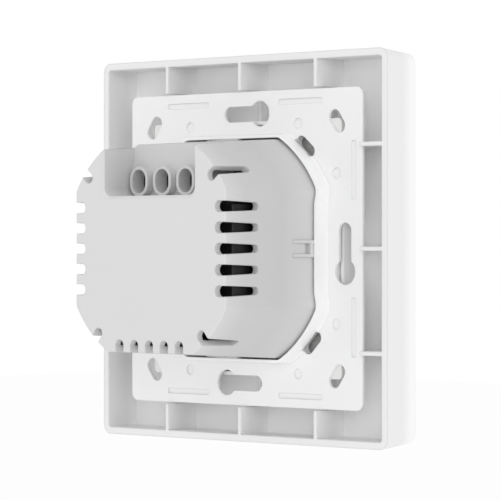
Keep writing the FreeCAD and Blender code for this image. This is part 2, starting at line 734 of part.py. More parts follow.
def arm_catch(side):
    # The pocket in the housing's wall that the tray's arm snaps into.
    outside = arm_place(side)
    hook_end = STRAP_FRONT_Y + ARM_LENGTH
    hook_start = hook_end - ARM_HOOK_LENGTH
    half = ARM_WIDTH / 2 + SLIDE_GAP
    return block(-half, half, hook_start - SLIDE_GAP, hook_end + SLIDE_GAP,
                 outside - ARM_SHEET, outside + ARM_HOOK + SLIDE_GAP)


# Front tray and key carrier
def post_places():
    x = housing_shares(POWER_REAR_Y)[0] - HOUSING_WALL - BOARD_WALL_GAP - TRAY_POST_INSET
    return [(sign_x * x, sign_z * LEDGE_PLACE) for sign_x in (-1, 1) for sign_z in (-1, 1)]


def tray_arms():
    arms = []
    for side in range(4):
        outside = arm_place(side)
        end_y = STRAP_FRONT_Y + ARM_LENGTH
        profile = [
            V(0, TRAY_FLOOR_Y, outside - ARM_SHEET), V(0, end_y, outside - ARM_SHEET),
            V(0, end_y, outside), V(0, end_y - ARM_HOOK_LENGTH, outside + ARM_HOOK),
            V(0, end_y - ARM_HOOK_LENGTH, outside), V(0, TRAY_FLOOR_Y, outside)]
        arm = Part.Face(Part.makePolygon(profile + profile[:1])).extrude(V(ARM_WIDTH, 0, 0))
        arm.translate(V(-ARM_WIDTH / 2, 0, 0))
        arms.append(turned(arm, 90 * side))
    return arms


def tray_ears():
    # Thin ears at the four corners of the tray, between the strap and the frame's window wall.
    half = WINDOW_HALF + WINDOW_WALL
    y0 = STRAP_FRONT_Y - TRAY_EAR_SHEET
    sheet = rounded_block(half, half, TRAY_EAR_CORNER_R, y0, STRAP_FRONT_Y)
    wide = FRAME_SIDE
    bars = [centred_block(0, 0, wide, 2 * TRAY_EAR_FROM, y0 - 1, STRAP_FRONT_Y + 1),
            centred_block(0, 0, 2 * TRAY_EAR_FROM, wide, y0 - 1, STRAP_FRONT_Y + 1)]
    return sheet.cut(bars).Solids


def front_tray():
    body = rounded_block(TRAY_HALF, TRAY_HALF, TRAY_CORNER_R, TRAY_FRONT_Y, STRAP_FRONT_Y)
    body = joined([body] + tray_ears())
    inner = TRAY_HALF - TRAY_WALL
    hollow = rounded_block(inner, inner, TRAY_CORNER_R / 2, TRAY_FRONT_Y - 1, TRAY_FLOOR_Y)
    opening = rounded_block(
        TRAY_OPENING_HALF, TRAY_OPENING_HALF, TRAY_OPENING_R, TRAY_FLOOR_Y - 1, STRAP_FRONT_Y + 1)
    pieces = [body.cut([hollow, opening] + brace_slots(TRAY_FLOOR_Y - 1, STRAP_FRONT_Y + 1))]
    for sign_x in (-1, 1):
        for sign_z in (-1, 1):
            x = sign_x * (inner - TRAY_PAD / 2)
            z = sign_z * (inner - TRAY_PAD / 2)
            pieces.append(centred_block(x, z, TRAY_PAD, TRAY_PAD, CONTROL_REAR_Y, TRAY_FLOOR_Y + TRAY_BASE / 2))
    for x, z in post_places():
        pieces.append(rod_y(x, z, TRAY_POST_R, TRAY_FLOOR_Y, POWER_BOARD_Y))
    for side in range(4):
        middle_y = (TRAY_FRONT_Y + STRAP_FRONT_Y) / 2
        clip = block(-TRAY_CLIP_WIDTH / 2, TRAY_CLIP_WIDTH / 2, middle_y - TRAY_BASE, middle_y + TRAY_BASE,
                     TRAY_HALF - TRAY_WALL / 2, WINDOW_HALF)
        pieces.append(turned(clip, 90 * side))
    return joined(pieces + tray_arms())


def leg_places(centre_z):
    return [(sign_x * KEY_LEG_X, centre_z + sign_z * KEY_LEG_Z) for sign_x in (-1, 1) for sign_z in (-1, 1)]


def key_carrier():
    plate = rounded_block(TRAY_HALF, TRAY_HALF, TRAY_CORNER_R, CARRIER_FRONT_Y, TRAY_FRONT_Y)
    y0 = CARRIER_FRONT_Y - 1
    y1 = TRAY_FRONT_Y + 1
    cutters = []
    for centre in KEY_CENTRES:
        opening = TACT_SIDE + 2 * SEAT_GAP
        cutters.append(centred_block(0, centre, opening, opening, y0, y1))
        cutters.append(rod_y(0, centre + LIGHT_Z, LIGHT_GUIDE_R + SEAT_GAP, y0, y1))
        for x, z in leg_places(centre):
            cutters.append(centred_block(x, z, KEY_LEG[0] + 2 * SLIDE_GAP, KEY_LEG[1] + 2 * SLIDE_GAP, y0, y1))
    return plate.cut(cutters)


# Keys
def symbol_cutter(name, centre):
    half = SYMBOL_SIZE / 2
    if name == "stop":
        half = STOP_SIZE / 2
        points = [(-half, -half), (half, -half), (half, half), (-half, half)]
    else:
        sign = 1 if name == "up" else -1
        height = SYMBOL_SIZE * math.sqrt(0.75)
        points = [(-half, -sign * height / 2), (half, -sign * height / 2), (0, sign * height / 2)]
    placed = [(x, centre + z) for x, z in points]
    return polygon_block(placed, KEY_FRONT_Y - 1, KEY_FRONT_Y + SYMBOL_DEPTH)


def key_legs(centre):
    legs = []
    hook_y = TRAY_FRONT_Y + SLIDE_GAP
    for x, z in leg_places(centre):
        leg = centred_block(x, z, KEY_LEG[0], KEY_LEG[1], KEY_BACK_Y - KEY_SHEET / 2, hook_y + KEY_LEG_HOOK_LENGTH)
        side = 1 if x > 0 else -1
        hook_x = x + side * (KEY_LEG[0] + KEY_LEG_HOOK) / 2
        hook = centred_block(hook_x, z, KEY_LEG_HOOK + SLIDE_GAP, KEY_LEG[1], hook_y, hook_y + KEY_LEG_HOOK_LENGTH)
        legs.append(leg.fuse(hook))
    return legs


def key(name, centre):
    half_z = KEY_HEIGHT / 2
    body = rounded_block(KEY_HALF, half_z, KEY_CORNER_R, KEY_FRONT_Y, KEY_SKIRT_Y, 0.0, centre)
    body = with_round_edges(body, KEY_EDGE_R, edge_lies_on(KEY_FRONT_Y))
    hollow = centred_block(0, centre, 2 * (KEY_HALF - KEY_SKIRT), 2 * (half_z - KEY_SKIRT),
                           KEY_BACK_Y, KEY_SKIRT_Y + 1)
    stem = rod_y(0, centre, KEY_STEM_R, KEY_BACK_Y - KEY_SHEET / 2, PLUNGER_FRONT_Y - FREE_PLAY)
    solid = joined([body.cut(hollow), stem] + key_legs(centre))
    light_hole = rod_y(0, centre + LIGHT_Z, LIGHT_GUIDE_R + LIGHT_GUIDE_GAP, KEY_FRONT_Y - 1, KEY_BACK_Y + 1)
    return solid.cut([symbol_cutter(name, centre), light_hole])


def light_guide(centre):
    z = centre + LIGHT_Z
    end_y = CONTROL_FRONT_Y - LED_SIZE[1] - KEY_TRAVEL - 5 * FREE_PLAY
    pipe = rod_y(0, z, LIGHT_GUIDE_R, KEY_FRONT_Y, end_y)
    flange = rod_y(0, z, LIGHT_GUIDE_FLANGE_R, KEY_BACK_Y, KEY_BACK_Y + LIGHT_GUIDE_FLANGE)
    return pipe.fuse(flange).removeSplitter()


# Control board and its parts
def board_arm_cuts(y0, y1):
    cuts = []
    for side in range(4):
        outside = arm_place(side)
        half = ARM_WIDTH / 2 + 2 * SLIDE_GAP
        cut = block(-half, half, y0, y1, outside - ARM_SHEET - SEAT_GAP, outside + ARM_CUT_REACH)
        cuts.append(turned(cut, 90 * side))
    return cuts


def control_board():
    half = TRAY_HALF - TRAY_WALL - CONTROL_GAP
    return rounded_block(half, half, TRAY_CORNER_R, CONTROL_FRONT_Y, CONTROL_REAR_Y)


def tact_switch(centre):
    body = centred_block(0, centre, TACT_SIDE, TACT_SIDE, TACT_FRONT_Y, CONTROL_FRONT_Y)
    body = with_round_edges(body, TACT_EDGE_R, lambda edge: edge.BoundBox.YLength > 1)
    bore_end = TACT_FRONT_Y + PLUNGER_INSIDE + KEY_TRAVEL + FREE_PLAY
    return body.cut(rod_y(0, centre, PLUNGER_R + RUNNING_GAP, TACT_FRONT_Y - 1, bore_end))


def tact_plunger(centre):
    return rod_y(0, centre, PLUNGER_R, PLUNGER_FRONT_Y, TACT_FRONT_Y + PLUNGER_INSIDE)


def indicator_leds():
    width, height, depth = LED_SIZE
    return [centred_block(0, centre + LIGHT_Z, width, depth, CONTROL_FRONT_Y - height, CONTROL_FRONT_Y)
            for centre in KEY_CENTRES]


def radio_module():
    return centred_block(RADIO_X, RADIO_Z, RADIO_SIZE[0], RADIO_SIZE[1], CONTROL_REAR_Y,
                         CONTROL_REAR_Y + RADIO_SHEET)


def radio_shield():
    z = RADIO_Z - (RADIO_SIZE[1] - SHIELD_SIZE[1]) / 2 + (RADIO_SIZE[0] - SHIELD_SIZE[0]) / 2
    base = CONTROL_REAR_Y + RADIO_SHEET
    top = base + SHIELD_HEIGHT
    can = rounded_block(SHIELD_SIZE[0] / 2, SHIELD_SIZE[1] / 2, SHIELD_SHEET * 2, base, top, RADIO_X, z)
    inner = SHIELD_SHEET * 2
    hollow = rounded_block(SHIELD_SIZE[0] / 2 - SHIELD_SHEET, SHIELD_SIZE[1] / 2 - SHIELD_SHEET, inner / 2,
                           base - 1, top - SHIELD_SHEET, RADIO_X, z)
    return can.cut(hollow)


def pin_places():
    places = []
    for column in range(HEADER_COLUMNS):
        for row in range(HEADER_ROWS):
            z = HEADER_Z + (column - (HEADER_COLUMNS - 1) / 2) * HEADER_PITCH
            x = HEADER_X + (row - (HEADER_ROWS - 1) / 2) * HEADER_PITCH
            places.append((x, z))
    return places


def pin_holes(side, y0, y1):
    return [centred_block(x, z, side, side, y0, y1) for x, z in pin_places()]


def header_body(y0, y1, hole_side):
    body = centred_block(HEADER_X, HEADER_Z, HEADER_ROWS * HEADER_PITCH, HEADER_COLUMNS * HEADER_PITCH, y0, y1)
    return body.cut(pin_holes(hole_side, y0 - 1, y1 + 1))


def board_header():
    return header_body(POWER_BOARD_Y - HEADER_HEIGHT, POWER_BOARD_Y, PIN_SIDE)


def board_socket():
    return header_body(CONTROL_REAR_Y, POWER_BOARD_Y - HEADER_HEIGHT, PIN_SIDE + 2 * RUNNING_GAP)


def header_pins():
    return pin_holes(PIN_SIDE, CONTROL_REAR_Y + PIN_TIP_GAP, POWER_BOARD_Y)


# Power board and its parts
def power_board():
    half_x, half_z, radius = housing_shares(POWER_REAR_Y)
    inset = HOUSING_WALL + BOARD_WALL_GAP
    outline = clipped_square(
        half_x - inset, half_z - inset, radius - inset, BOARD_BLEND_R, POWER_BOARD_Y)
    board = extruded(outline, BOARD_SHEET)
    return board.cut(board_arm_cuts(POWER_BOARD_Y - 1, POWER_REAR_Y + 1))


def relay(index):
    inner = housing_shares(POWER_REAR_Y)[0] - HOUSING_WALL
    left = -inner + RELAY_WALL_GAP + index * (RELAY_WIDTH + RELAY_SPACING)
    body = block(left, left + RELAY_WIDTH, POWER_REAR_Y, POWER_REAR_Y + RELAY_HEIGHT,
                 RELAY_TOP_Z - RELAY_LENGTH, RELAY_TOP_Z)
    rear = POWER_REAR_Y + RELAY_HEIGHT
    return with_round_edges(body, RELAY_EDGE_R, lambda edge: edge.BoundBox.YMax > rear - 1e-4)


def transformer_core():
    x, z = TRANSFORMER_X, TRANSFORMER_Z
    top = POWER_REAR_Y + TRANSFORMER_HEIGHT
    base = POWER_REAR_Y + BOBBIN_SKIN
    body = centred_block(x, z, TRANSFORMER_WIDTH, TRANSFORMER_CORE, base, top)
    window = centred_block(x, z, TRANSFORMER_WIDTH - 2 * TRANSFORMER_LEG, TRANSFORMER_CORE + 2,
                           base + TRANSFORMER_LEG, top - TRANSFORMER_LEG)
    post = rod_y(x, z, TRANSFORMER_CORE / 2, base + TRANSFORMER_LEG / 2, top - TRANSFORMER_LEG / 2)
    return joined([body.cut(window), post])


def transformer_bobbin():
    x, z = TRANSFORMER_X, TRANSFORMER_Z
    base = POWER_REAR_Y + BOBBIN_SKIN
    low = base + TRANSFORMER_LEG + SLIDE_GAP
    high = POWER_REAR_Y + TRANSFORMER_HEIGHT - TRANSFORMER_LEG - SLIDE_GAP
    bore = TRANSFORMER_CORE / 2 + SLIDE_GAP
    sleeve = rod_y(x, z, bore + BOBBIN_SKIN, low, high)
    width = TRANSFORMER_WIDTH - 2 * TRANSFORMER_LEG - 2 * SLIDE_GAP
    pieces = [sleeve]
    for y0, y1 in ((low, low + BOBBIN_SKIN), (high - BOBBIN_SKIN, high)):
        pieces.append(centred_block(x, z, width, TRANSFORMER_LENGTH, y0, y1))
    for sign in (-1, 1):
        foot_z = z + sign * (TRANSFORMER_LENGTH / 2 - TRANSFORMER_LEG / 2)
        pieces.append(centred_block(x, foot_z, TRANSFORMER_WIDTH, TRANSFORMER_LEG, POWER_REAR_Y, low + BOBBIN_SKIN))
    bobbin = joined(pieces)
    return bobbin.cut(rod_y(x, z, bore, POWER_REAR_Y - 1, high + 1))


def transformer_winding():
    x, z = TRANSFORMER_X, TRANSFORMER_Z
    gap = BOBBIN_SKIN + 2 * SLIDE_GAP
    low = POWER_REAR_Y + BOBBIN_SKIN + TRANSFORMER_LEG + gap
    high = POWER_REAR_Y + TRANSFORMER_HEIGHT - TRANSFORMER_LEG - gap
    inner = TRANSFORMER_CORE / 2 + BOBBIN_SKIN + 2 * SLIDE_GAP
    half_x = TRANSFORMER_WIDTH / 2 - TRANSFORMER_LEG - SLIDE_GAP
    coil = rounded_block(half_x, WINDING_R, half_x / 2, low, high, x, z)
    return coil.cut(rod_y(x, z, inner, low - 1, high + 1))


def can_capacitor(place, radius, height):
    groove = radius / 10
    body = rod_y(place[0], place[1], radius, POWER_REAR_Y, POWER_REAR_Y + height)
    body = with_round_edges(body, groove, lambda edge: len(edge.Vertexes) == 1)
    neck_y = POWER_REAR_Y + height / 8
    ring = Part.makeTorus(radius + groove / 2, groove, V(place[0], neck_y, place[1]), V(0, 1, 0))
    return body.cut(ring)


def filter_inductor():
    x, z = INDUCTOR_PLACE
    low = POWER_REAR_Y + INDUCTOR_FLANGE
    high = POWER_REAR_Y + INDUCTOR_HEIGHT - INDUCTOR_FLANGE
    return joined([
        rod_y(x, z, INDUCTOR_R, POWER_REAR_Y, low),
        rod_y(x, z, INDUCTOR_R - INDUCTOR_WAIST, low, high),
        rod_y(x, z, INDUCTOR_R, high, POWER_REAR_Y + INDUCTOR_HEIGHT)])


def box_part(size, x, z, edge_r):
    width, height, depth = size
    body = centred_block(x, z, width, depth, POWER_REAR_Y, POWER_REAR_Y + height)
    rear = POWER_REAR_Y + height
    return with_round_edges(body, edge_r, lambda edge: edge.BoundBox.YMax > rear - 1e-4)


def varistor():
    half = VARISTOR_THICKNESS / 2
    centre_y = POWER_REAR_Y + VARISTOR_R
    disc = Part.makeCylinder(VARISTOR_R, VARISTOR_THICKNESS, V(VARISTOR_X - half, centre_y, VARISTOR_Z), V(1, 0, 0))
    disc = with_round_edges(disc, half / 2, lambda edge: len(edge.Vertexes) == 1)
    foot = block(VARISTOR_X - half / 2, VARISTOR_X + half / 2, POWER_REAR_Y, centre_y,
                 VARISTOR_Z - VARISTOR_R / 2, VARISTOR_Z + VARISTOR_R / 2)
    return disc.fuse(foot).removeSplitter()


def fuse_resistor():
    x, z = FUSE_PLACE
    body = rod_y(x, z, FUSE_R, POWER_REAR_Y, POWER_REAR_Y + FUSE_LENGTH)
    return with_round_edges(body, FUSE_R / 3, lambda edge: len(edge.Vertexes) == 1)


# Terminals
def cage_cavity(x):
    half_length = CAGE_LENGTH / 2 + SLIDE_GAP
    return block(x - CAVITY_HALF, x + CAVITY_HALF, CAGE_PLACE_Y - half_length, CAGE_PLACE_Y + half_length,
                 CAGE_BOTTOM - SLIDE_GAP, CAVITY_TOP)


def contact_shape(x):
    half = CONTACT_WIDTH / 2
    return block(x - half, x + half, POWER_REAR_Y, CAGE_PLACE_Y + CAGE_LENGTH / 2, CONTACT_BOTTOM, CONTACT_TOP)


def terminal_block():
    body = block(-TERMINAL_HALF, TERMINAL_HALF, POWER_REAR_Y, TERMINAL_REAR_Y, TERMINAL_BOTTOM, TERMINAL_TOP)

    def top_corner(edge):
        box = edge.BoundBox
        on_side = abs(abs(box.XMin) - TERMINAL_HALF) < 1e-4 and box.XLength < 1e-4
        return on_side and box.ZMin > TERMINAL_TOP - 1e-4
    body = body.makeChamfer(TERMINAL_CHAMFER, [edge for edge in body.Edges if top_corner(edge)])
    cutters = []
    for x in POLES_X:
        cutters.append(cage_cavity(x))
        cutters.append(contact_shape(x))
        cutters.append(wire_hole(x, 0.0, CAGE_PLACE_Y, TERMINAL_REAR_Y + 1))
        cutters.append(rod_z(x, CAGE_PLACE_Y, SCREW_R + RUNNING_GAP, CAVITY_TOP - 1, TERMINAL_TOP + 1))
    return body.cut(cutters)


def terminal_contacts():
    return [contact_shape(x) for x in POLES_X]


def terminal_cage(x):
    y0 = CAGE_PLACE_Y - CAGE_LENGTH / 2
    y1 = CAGE_PLACE_Y + CAGE_LENGTH / 2
    half = CAGE_WIDTH / 2
    body = block(x - half, x + half, y0, y1, CAGE_BOTTOM, CAGE_CROWN)
    inner = half - CAGE_SIDE
    window = block(x - inner, x + inner, y0 - 1, y1 + 1, WIRE_HOLE_BOTTOM, CAGE_CEILING)
    thread = rod_z(x, CAGE_PLACE_Y, SCREW_R + RUNNING_GAP, CAGE_CEILING - 1, CAGE_CROWN + 1)
    return body.cut([window, thread])


def terminal_screw(x):
    head_top = TERMINAL_TOP + SCREW_HEAD_HEIGHT
    shank = rod_z(x, CAGE_PLACE_Y, SCREW_R, CONTACT_TOP + RUNNING_GAP, TERMINAL_TOP + SCREW_HEAD_HEIGHT / 2)
    head = rod_z(x, CAGE_PLACE_Y, SCREW_HEAD_R, TERMINAL_TOP + RUNNING_GAP, head_top)
    head = with_round_edges(head, RUNNING_GAP * 3, lambda edge: edge.BoundBox.ZMin > head_top - 1e-4)
    floor = head_top - SCREW_SLOT_DEPTH
    half = SCREW_SLOT / 2
    long_slot = block(x - SCREW_HEAD_R - 1, x + SCREW_HEAD_R + 1, CAGE_PLACE_Y - half, CAGE_PLACE_Y + half,
                      floor, head_top + 1)
    cross_slot = block(x - half, x + half, CAGE_PLACE_Y - SCREW_R, CAGE_PLACE_Y + SCREW_R, floor, head_top + 1)
    return shank.fuse(head).cut([long_slot, cross_slot]).removeSplitter()


def all_nodes():
    nodes = {
        "outer_frame": outer_frame(),
        "mounting_strap": mounting_strap(),
        "rear_housing": rear_housing(),
        "front_tray": front_tray(),
        "key_carrier": key_carrier(),
        "control_board": control_board(),
        "indicator_leds": indicator_leds(),
        "radio_module": radio_module(),
        "radio_shield": radio_shield(),
        "board_socket": board_socket(),
        "board_header": board_header(),
        "header_pins": header_pins(),
        "power_board": power_board(),
        "relay_up": relay(0),
        "relay_down": relay(1),
        "transformer_core": transformer_core(),
        "transformer_bobbin": transformer_bobbin(),
        "transformer_winding": transformer_winding(),
        "input_capacitor": can_capacitor(INPUT_CAPACITOR_PLACE, INPUT_CAPACITOR_R, INPUT_CAPACITOR_HEIGHT),
        "output_capacitor": can_capacitor(OUTPUT_CAPACITOR_PLACE, OUTPUT_CAPACITOR_R, OUTPUT_CAPACITOR_HEIGHT),
        "filter_inductor": filter_inductor(),
        "safety_capacitor": box_part(BOX_CAPACITOR, BOX_CAPACITOR_X, BOX_CAPACITOR_Z, 0.5),
        "bridge_rectifier": box_part(RECTIFIER, RECTIFIER_X, RECTIFIER_Z, 0.3),
        "varistor": varistor(),
        "fuse_resistor": fuse_resistor(),
        "terminal_block": terminal_block(),
        "terminal_contacts": terminal_contacts(),
    }
    for name, centre in zip(KEY_NAMES, KEY_CENTRES):
        nodes["key_" + name] = key(name, centre)
        nodes["light_guide_" + name] = light_guide(centre)
        nodes["tact_switch_" + name] = tact_switch(centre)
        nodes["tact_plunger_" + name] = tact_plunger(centre)
    for index, x in enumerate(POLES_X):
        nodes["terminal_cage_%d" % (index + 1)] = terminal_cage(x)
        nodes["terminal_screw_%d" % (index + 1)] = terminal_screw(x)
    return nodes


def one_shape(made):
    if isinstance(made, list):
        return Part.makeCompound(made)
    if made.ShapeType == "Compound" and len(made.Solids) == 1:
        return made.Solids[0]
    return made


os.makedirs("parts", exist_ok=True)
for node, made in all_nodes().items():
    shape = one_shape(made)
    shape.exportStep("parts/%s.step" % node)
    print("%-20s solids %d  volume %9.2f  valid %s" % (node, len(shape.Solids), shape.Volume, shape.isValid()))
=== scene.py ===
import json
import logging
import math
from dataclasses import dataclass, field
from enum import Enum

import bmesh
import bpy
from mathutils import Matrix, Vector


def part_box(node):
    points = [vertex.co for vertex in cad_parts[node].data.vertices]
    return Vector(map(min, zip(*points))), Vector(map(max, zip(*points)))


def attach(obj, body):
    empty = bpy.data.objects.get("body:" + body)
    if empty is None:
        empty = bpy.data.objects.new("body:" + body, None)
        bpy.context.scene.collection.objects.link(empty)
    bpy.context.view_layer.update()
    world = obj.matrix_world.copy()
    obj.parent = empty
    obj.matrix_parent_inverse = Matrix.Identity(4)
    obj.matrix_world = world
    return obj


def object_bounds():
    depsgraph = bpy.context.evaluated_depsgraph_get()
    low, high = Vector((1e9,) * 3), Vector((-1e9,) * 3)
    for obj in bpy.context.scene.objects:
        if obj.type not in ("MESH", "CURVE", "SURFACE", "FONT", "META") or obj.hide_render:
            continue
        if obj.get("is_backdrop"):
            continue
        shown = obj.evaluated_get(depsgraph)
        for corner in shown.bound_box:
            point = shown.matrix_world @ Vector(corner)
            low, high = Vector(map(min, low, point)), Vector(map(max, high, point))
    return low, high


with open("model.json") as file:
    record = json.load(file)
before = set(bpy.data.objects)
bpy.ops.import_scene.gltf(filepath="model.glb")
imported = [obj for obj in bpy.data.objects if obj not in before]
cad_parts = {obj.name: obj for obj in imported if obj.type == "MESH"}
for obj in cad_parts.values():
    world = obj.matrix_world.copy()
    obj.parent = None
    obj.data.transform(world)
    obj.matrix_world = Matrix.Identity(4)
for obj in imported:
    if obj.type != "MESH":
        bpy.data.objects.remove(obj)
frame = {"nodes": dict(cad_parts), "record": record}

MM = 0.001
CLEARANCE = 0.01 * MM
WHITE = (1.0, 1.0, 1.0, 1.0)
BLACK = (0.0, 0.0, 0.0, 1.0)
LOG = logging.getLogger("roller_shutter_switch")

# A colour mix has several sockets of each name, so these are told apart by their places.
FIRST_COLOUR = 6
SECOND_COLOUR = 7
COLOUR_RESULT = 2

Point = tuple[float, float, float]
Colour = tuple[float, float, float]
Place = tuple[float, float]
Outline = list[Place]
Node = bpy.types.Node
Socket = bpy.types.NodeSocket
Group = bpy.types.ShaderNodeTree
Inputs = dict[str | int, object]
Ring = list[bmesh.types.BMVert]


class Grain(Enum):
    """How coarse the mould texture of a surface is, as cells per metre."""

    SATIN = 9000.0
    MATTE = 6500.0
    COATED = 4200.0


class KeySign(Enum):
    """The three keys by the sign each one bears."""

    UP = "up"
    STOP = "stop"
    DOWN = "down"


class Wiring:
    """Adds nodes to one node tree and joins them."""

    def __init__(self, tree: bpy.types.NodeTree) -> None:
        """Work in a node tree."""
        self.nodes = tree.nodes
        self.links = tree.links

    def find(self, kind: str) -> Node:
        """Return the node of a kind that the tree has from the start."""
        return next(node for node in self.nodes if node.type == kind)

    def feed(self, node: Node, inputs: Inputs) -> Node:
        """Set a node's inputs to values, or join them to sockets.

        Args:
            node: The node to feed.
            inputs: A value or a socket for each input, by name or place.

        Returns:
            The same node.
        """
        for key, value in inputs.items():
            if isinstance(value, Socket):
                self.links.new(value, node.inputs[key])
            else:
                node.inputs[key].default_value = value
        return node

    def add(self, kind: str, inputs: Inputs | None = None, **settings: object) -> Node:
        """Add a node.

        Args:
            kind: The node's type name, without "ShaderNode".
            inputs: A value or a socket for each input, by name or place.
            settings: The node's own settings.

        Returns:
            The new node.
        """
        node = self.nodes.new("ShaderNode" + kind)
        for name, value in settings.items():
            setattr(node, name, value)
        return self.feed(node, inputs or {})

    def calculate(self, operation: str, *values: float | Socket) -> Socket:
        """Return the result of a calculation with numbers or sockets."""
        return self.add("Math", dict(enumerate(values)), operation=operation).outputs[0]


class EffectGroup(Wiring):
    """A shader node group in the making."""

    def __init__(self, name: str, inputs: dict[str, float], outputs: tuple[str, ...]) -> None:
        """Make the empty group.

        Args:
            name: The group's name.
            inputs: The inputs' names and default values.
            outputs: The outputs' names.
        """
        self.tree = bpy.data.node_groups.new(name, "ShaderNodeTree")
        super().__init__(self.tree)
        for label, value in inputs.items():
            socket = self.tree.interface.new_socket(label, in_out="INPUT", socket_type="NodeSocketFloat")
            socket.default_value = value
        for label in outputs:
            self.tree.interface.new_socket(label, in_out="OUTPUT", socket_type="NodeSocketFloat")
        self.inside = self.nodes.new("NodeGroupInput")
        self.outside = self.nodes.new("NodeGroupOutput")
        self.coordinates = self.add("TexCoord")

    def given(self, label: str) -> Socket:
        """Return the socket of one of the group's inputs."""
        return self.inside.outputs[label]

    def place(self, label: str = "Object") -> Socket:
        """Return the socket of a surface point's place, or of its normal, on the object."""
        return self.coordinates.outputs[label]

    def noise(self, vector: Socket, inputs: Inputs) -> Socket:
        """Return the strength of a noise at a place."""
        return self.add("TexNoise", {"Vector": vector, **inputs}).outputs["Fac"]

    def swing(self, noise: Socket, amount: Socket, middle: float | Socket) -> Socket:
        """Return a middle value with a noise's swing about a half added, times an amount."""
        return self.calculate("MULTIPLY_ADD", self.calculate("SUBTRACT", noise, 0.5), amount, middle)

    def give(self, results: dict[str, Socket]) -> Group:
        """Join the group's outputs to their results, and return the group."""
        self.feed(self.outside, results)
        return self.tree


class SurfaceEffects:
    """The node groups that several finishes share."""

    def __init__(self) -> None:
        """Build each group once."""
        self.mould_texture = self.make_mould_texture()
        self.tone_drift = self.make_tone_drift()
        # Painted shade and painted light that depend on depth.
        self.painted_depth_shade = self.make_painted_depth_shade()
        self.rolled_lines = self.make_rolled_lines()
        self.copper_traces = self.make_copper_traces()

    @staticmethod
    def make_copper_traces() -> Group:
        """Build the pattern of copper traces that shows through a board's solder mask.

        Returns:
            A group that gives a mask of the traces and a bump height.
        """
        group = EffectGroup("copper_traces", {"Cells": 260.0, "Width": 0.07}, ("Mask", "Height"))
        flat = group.add("Mapping", {"Vector": group.place(), "Rotation": (math.radians(90.0), 0.0, 0.0)})
        runs = group.add("TexBrick", {
            "Vector": flat.outputs["Vector"], "Scale": group.given("Cells"),
            "Mortar Size": group.given("Width"), "Mortar Smooth": 0.2,
            "Mortar": WHITE, "Color1": BLACK, "Color2": BLACK})
        traces = runs.outputs["Color"]
        return group.give({"Mask": traces, "Height": traces})

    @staticmethod
    def make_mould_texture() -> Group:
        """Build the fine pitted texture that a spark-eroded mould leaves.

        Returns:
            A group that gives a bump height and a roughness.
        """
        group = EffectGroup(
            "mould_texture", {"Cells": Grain.SATIN.value, "Roughness": 0.5, "Roughness spread": 0.08},
            ("Height", "Roughness"))
        cells = group.given("Cells")
        pits = group.noise(group.place(), {"Scale": cells, "Detail": 3.0, "Roughness": 0.55})
        patches = group.noise(group.place(), {"Scale": 260.0, "Detail": 2.0})
        roughness = group.swing(patches, group.given("Roughness spread"), group.given("Roughness"))
        return group.give({"Height": pits, "Roughness": roughness})

    @staticmethod
    def make_tone_drift() -> Group:
        """Build a slow, faint change of lightness over a surface.

        Returns:
            A group that gives a factor near one, to multiply a colour by.
        """
        group = EffectGroup("tone_drift", {"Cells": 40.0, "Amount": 0.02}, ("Factor",))
        clouds = group.noise(group.place(), {"Scale": group.given("Cells"), "Detail": 3.0})
        return group.give({"Factor": group.swing(clouds, group.given("Amount"), 1.0)})

    @staticmethod
    def make_painted_depth_shade() -> Group:
        """Build painted shade and painted light: the colour grows darker or lighter from one depth to
        another, along the way into the wall.

        "Level" is how far faces that look into the wall box, and half as far those that look up or
        down, keep the full colour.

        Returns:
            A group that gives a factor to multiply a colour by.
        """
        group = EffectGroup(
            "painted_depth_shade", {"From": 0.0, "To": 0.001, "Near": 1.0, "Far": 1.0, "Level": 0.0}, ("Factor",))
        depth = group.add("SeparateXYZ", {"Vector": group.place()})
        slide = group.add("MapRange", {
            "Value": depth.outputs["Y"], "From Min": group.given("From"), "From Max": group.given("To"),
            "To Min": group.given("Near"), "To Max": group.given("Far")})
        # Faces that look into the wall box, as the rear faces do, are spared the painted shade, so it lies
        # on the side walls.
        facing = group.add("SeparateXYZ", {"Vector": group.place("Normal")})
        upright = group.calculate("ABSOLUTE", facing.outputs["Z"])
        lean = group.calculate("MULTIPLY_ADD", upright, 0.5, facing.outputs["Y"])
        level = group.add("Math", {0: lean, 1: group.given("Level")}, operation="MULTIPLY", use_clamp=True)
        mix = group.add("Mix", {"Factor": level.outputs[0], "A": slide.outputs["Result"], "B": 1.0})
        return group.give({"Factor": mix.outputs["Result"]})

    @staticmethod
    def make_rolled_lines() -> Group:
        """Build the faint lines of rolled or drawn sheet metal.

        Returns:
            A group that gives a bump height and a roughness.
        """
        group = EffectGroup(
            "rolled_lines", {"Lines": 5200.0, "Roughness": 0.35, "Roughness spread": 0.15},
            ("Height", "Roughness"))
        stretch = group.add("Mapping", {"Vector": group.place(), "Scale": (0.04, 1.0, 1.0)})
        lines = group.noise(stretch.outputs["Vector"], {"Scale": group.given("Lines"), "Detail": 4.0})
        roughness = group.swing(lines, group.given("Roughness spread"), group.given("Roughness"))
        return group.give({"Height": lines, "Roughness": roughness})


@dataclass(frozen=True)
class PaintedShadeByDepth:
    """Painted shade and painted light: how much darker or lighter a finish is painted along the way into
    the wall.
    """

    start: float
    end: float
    near: float
    far: float
    level: float = 0.0


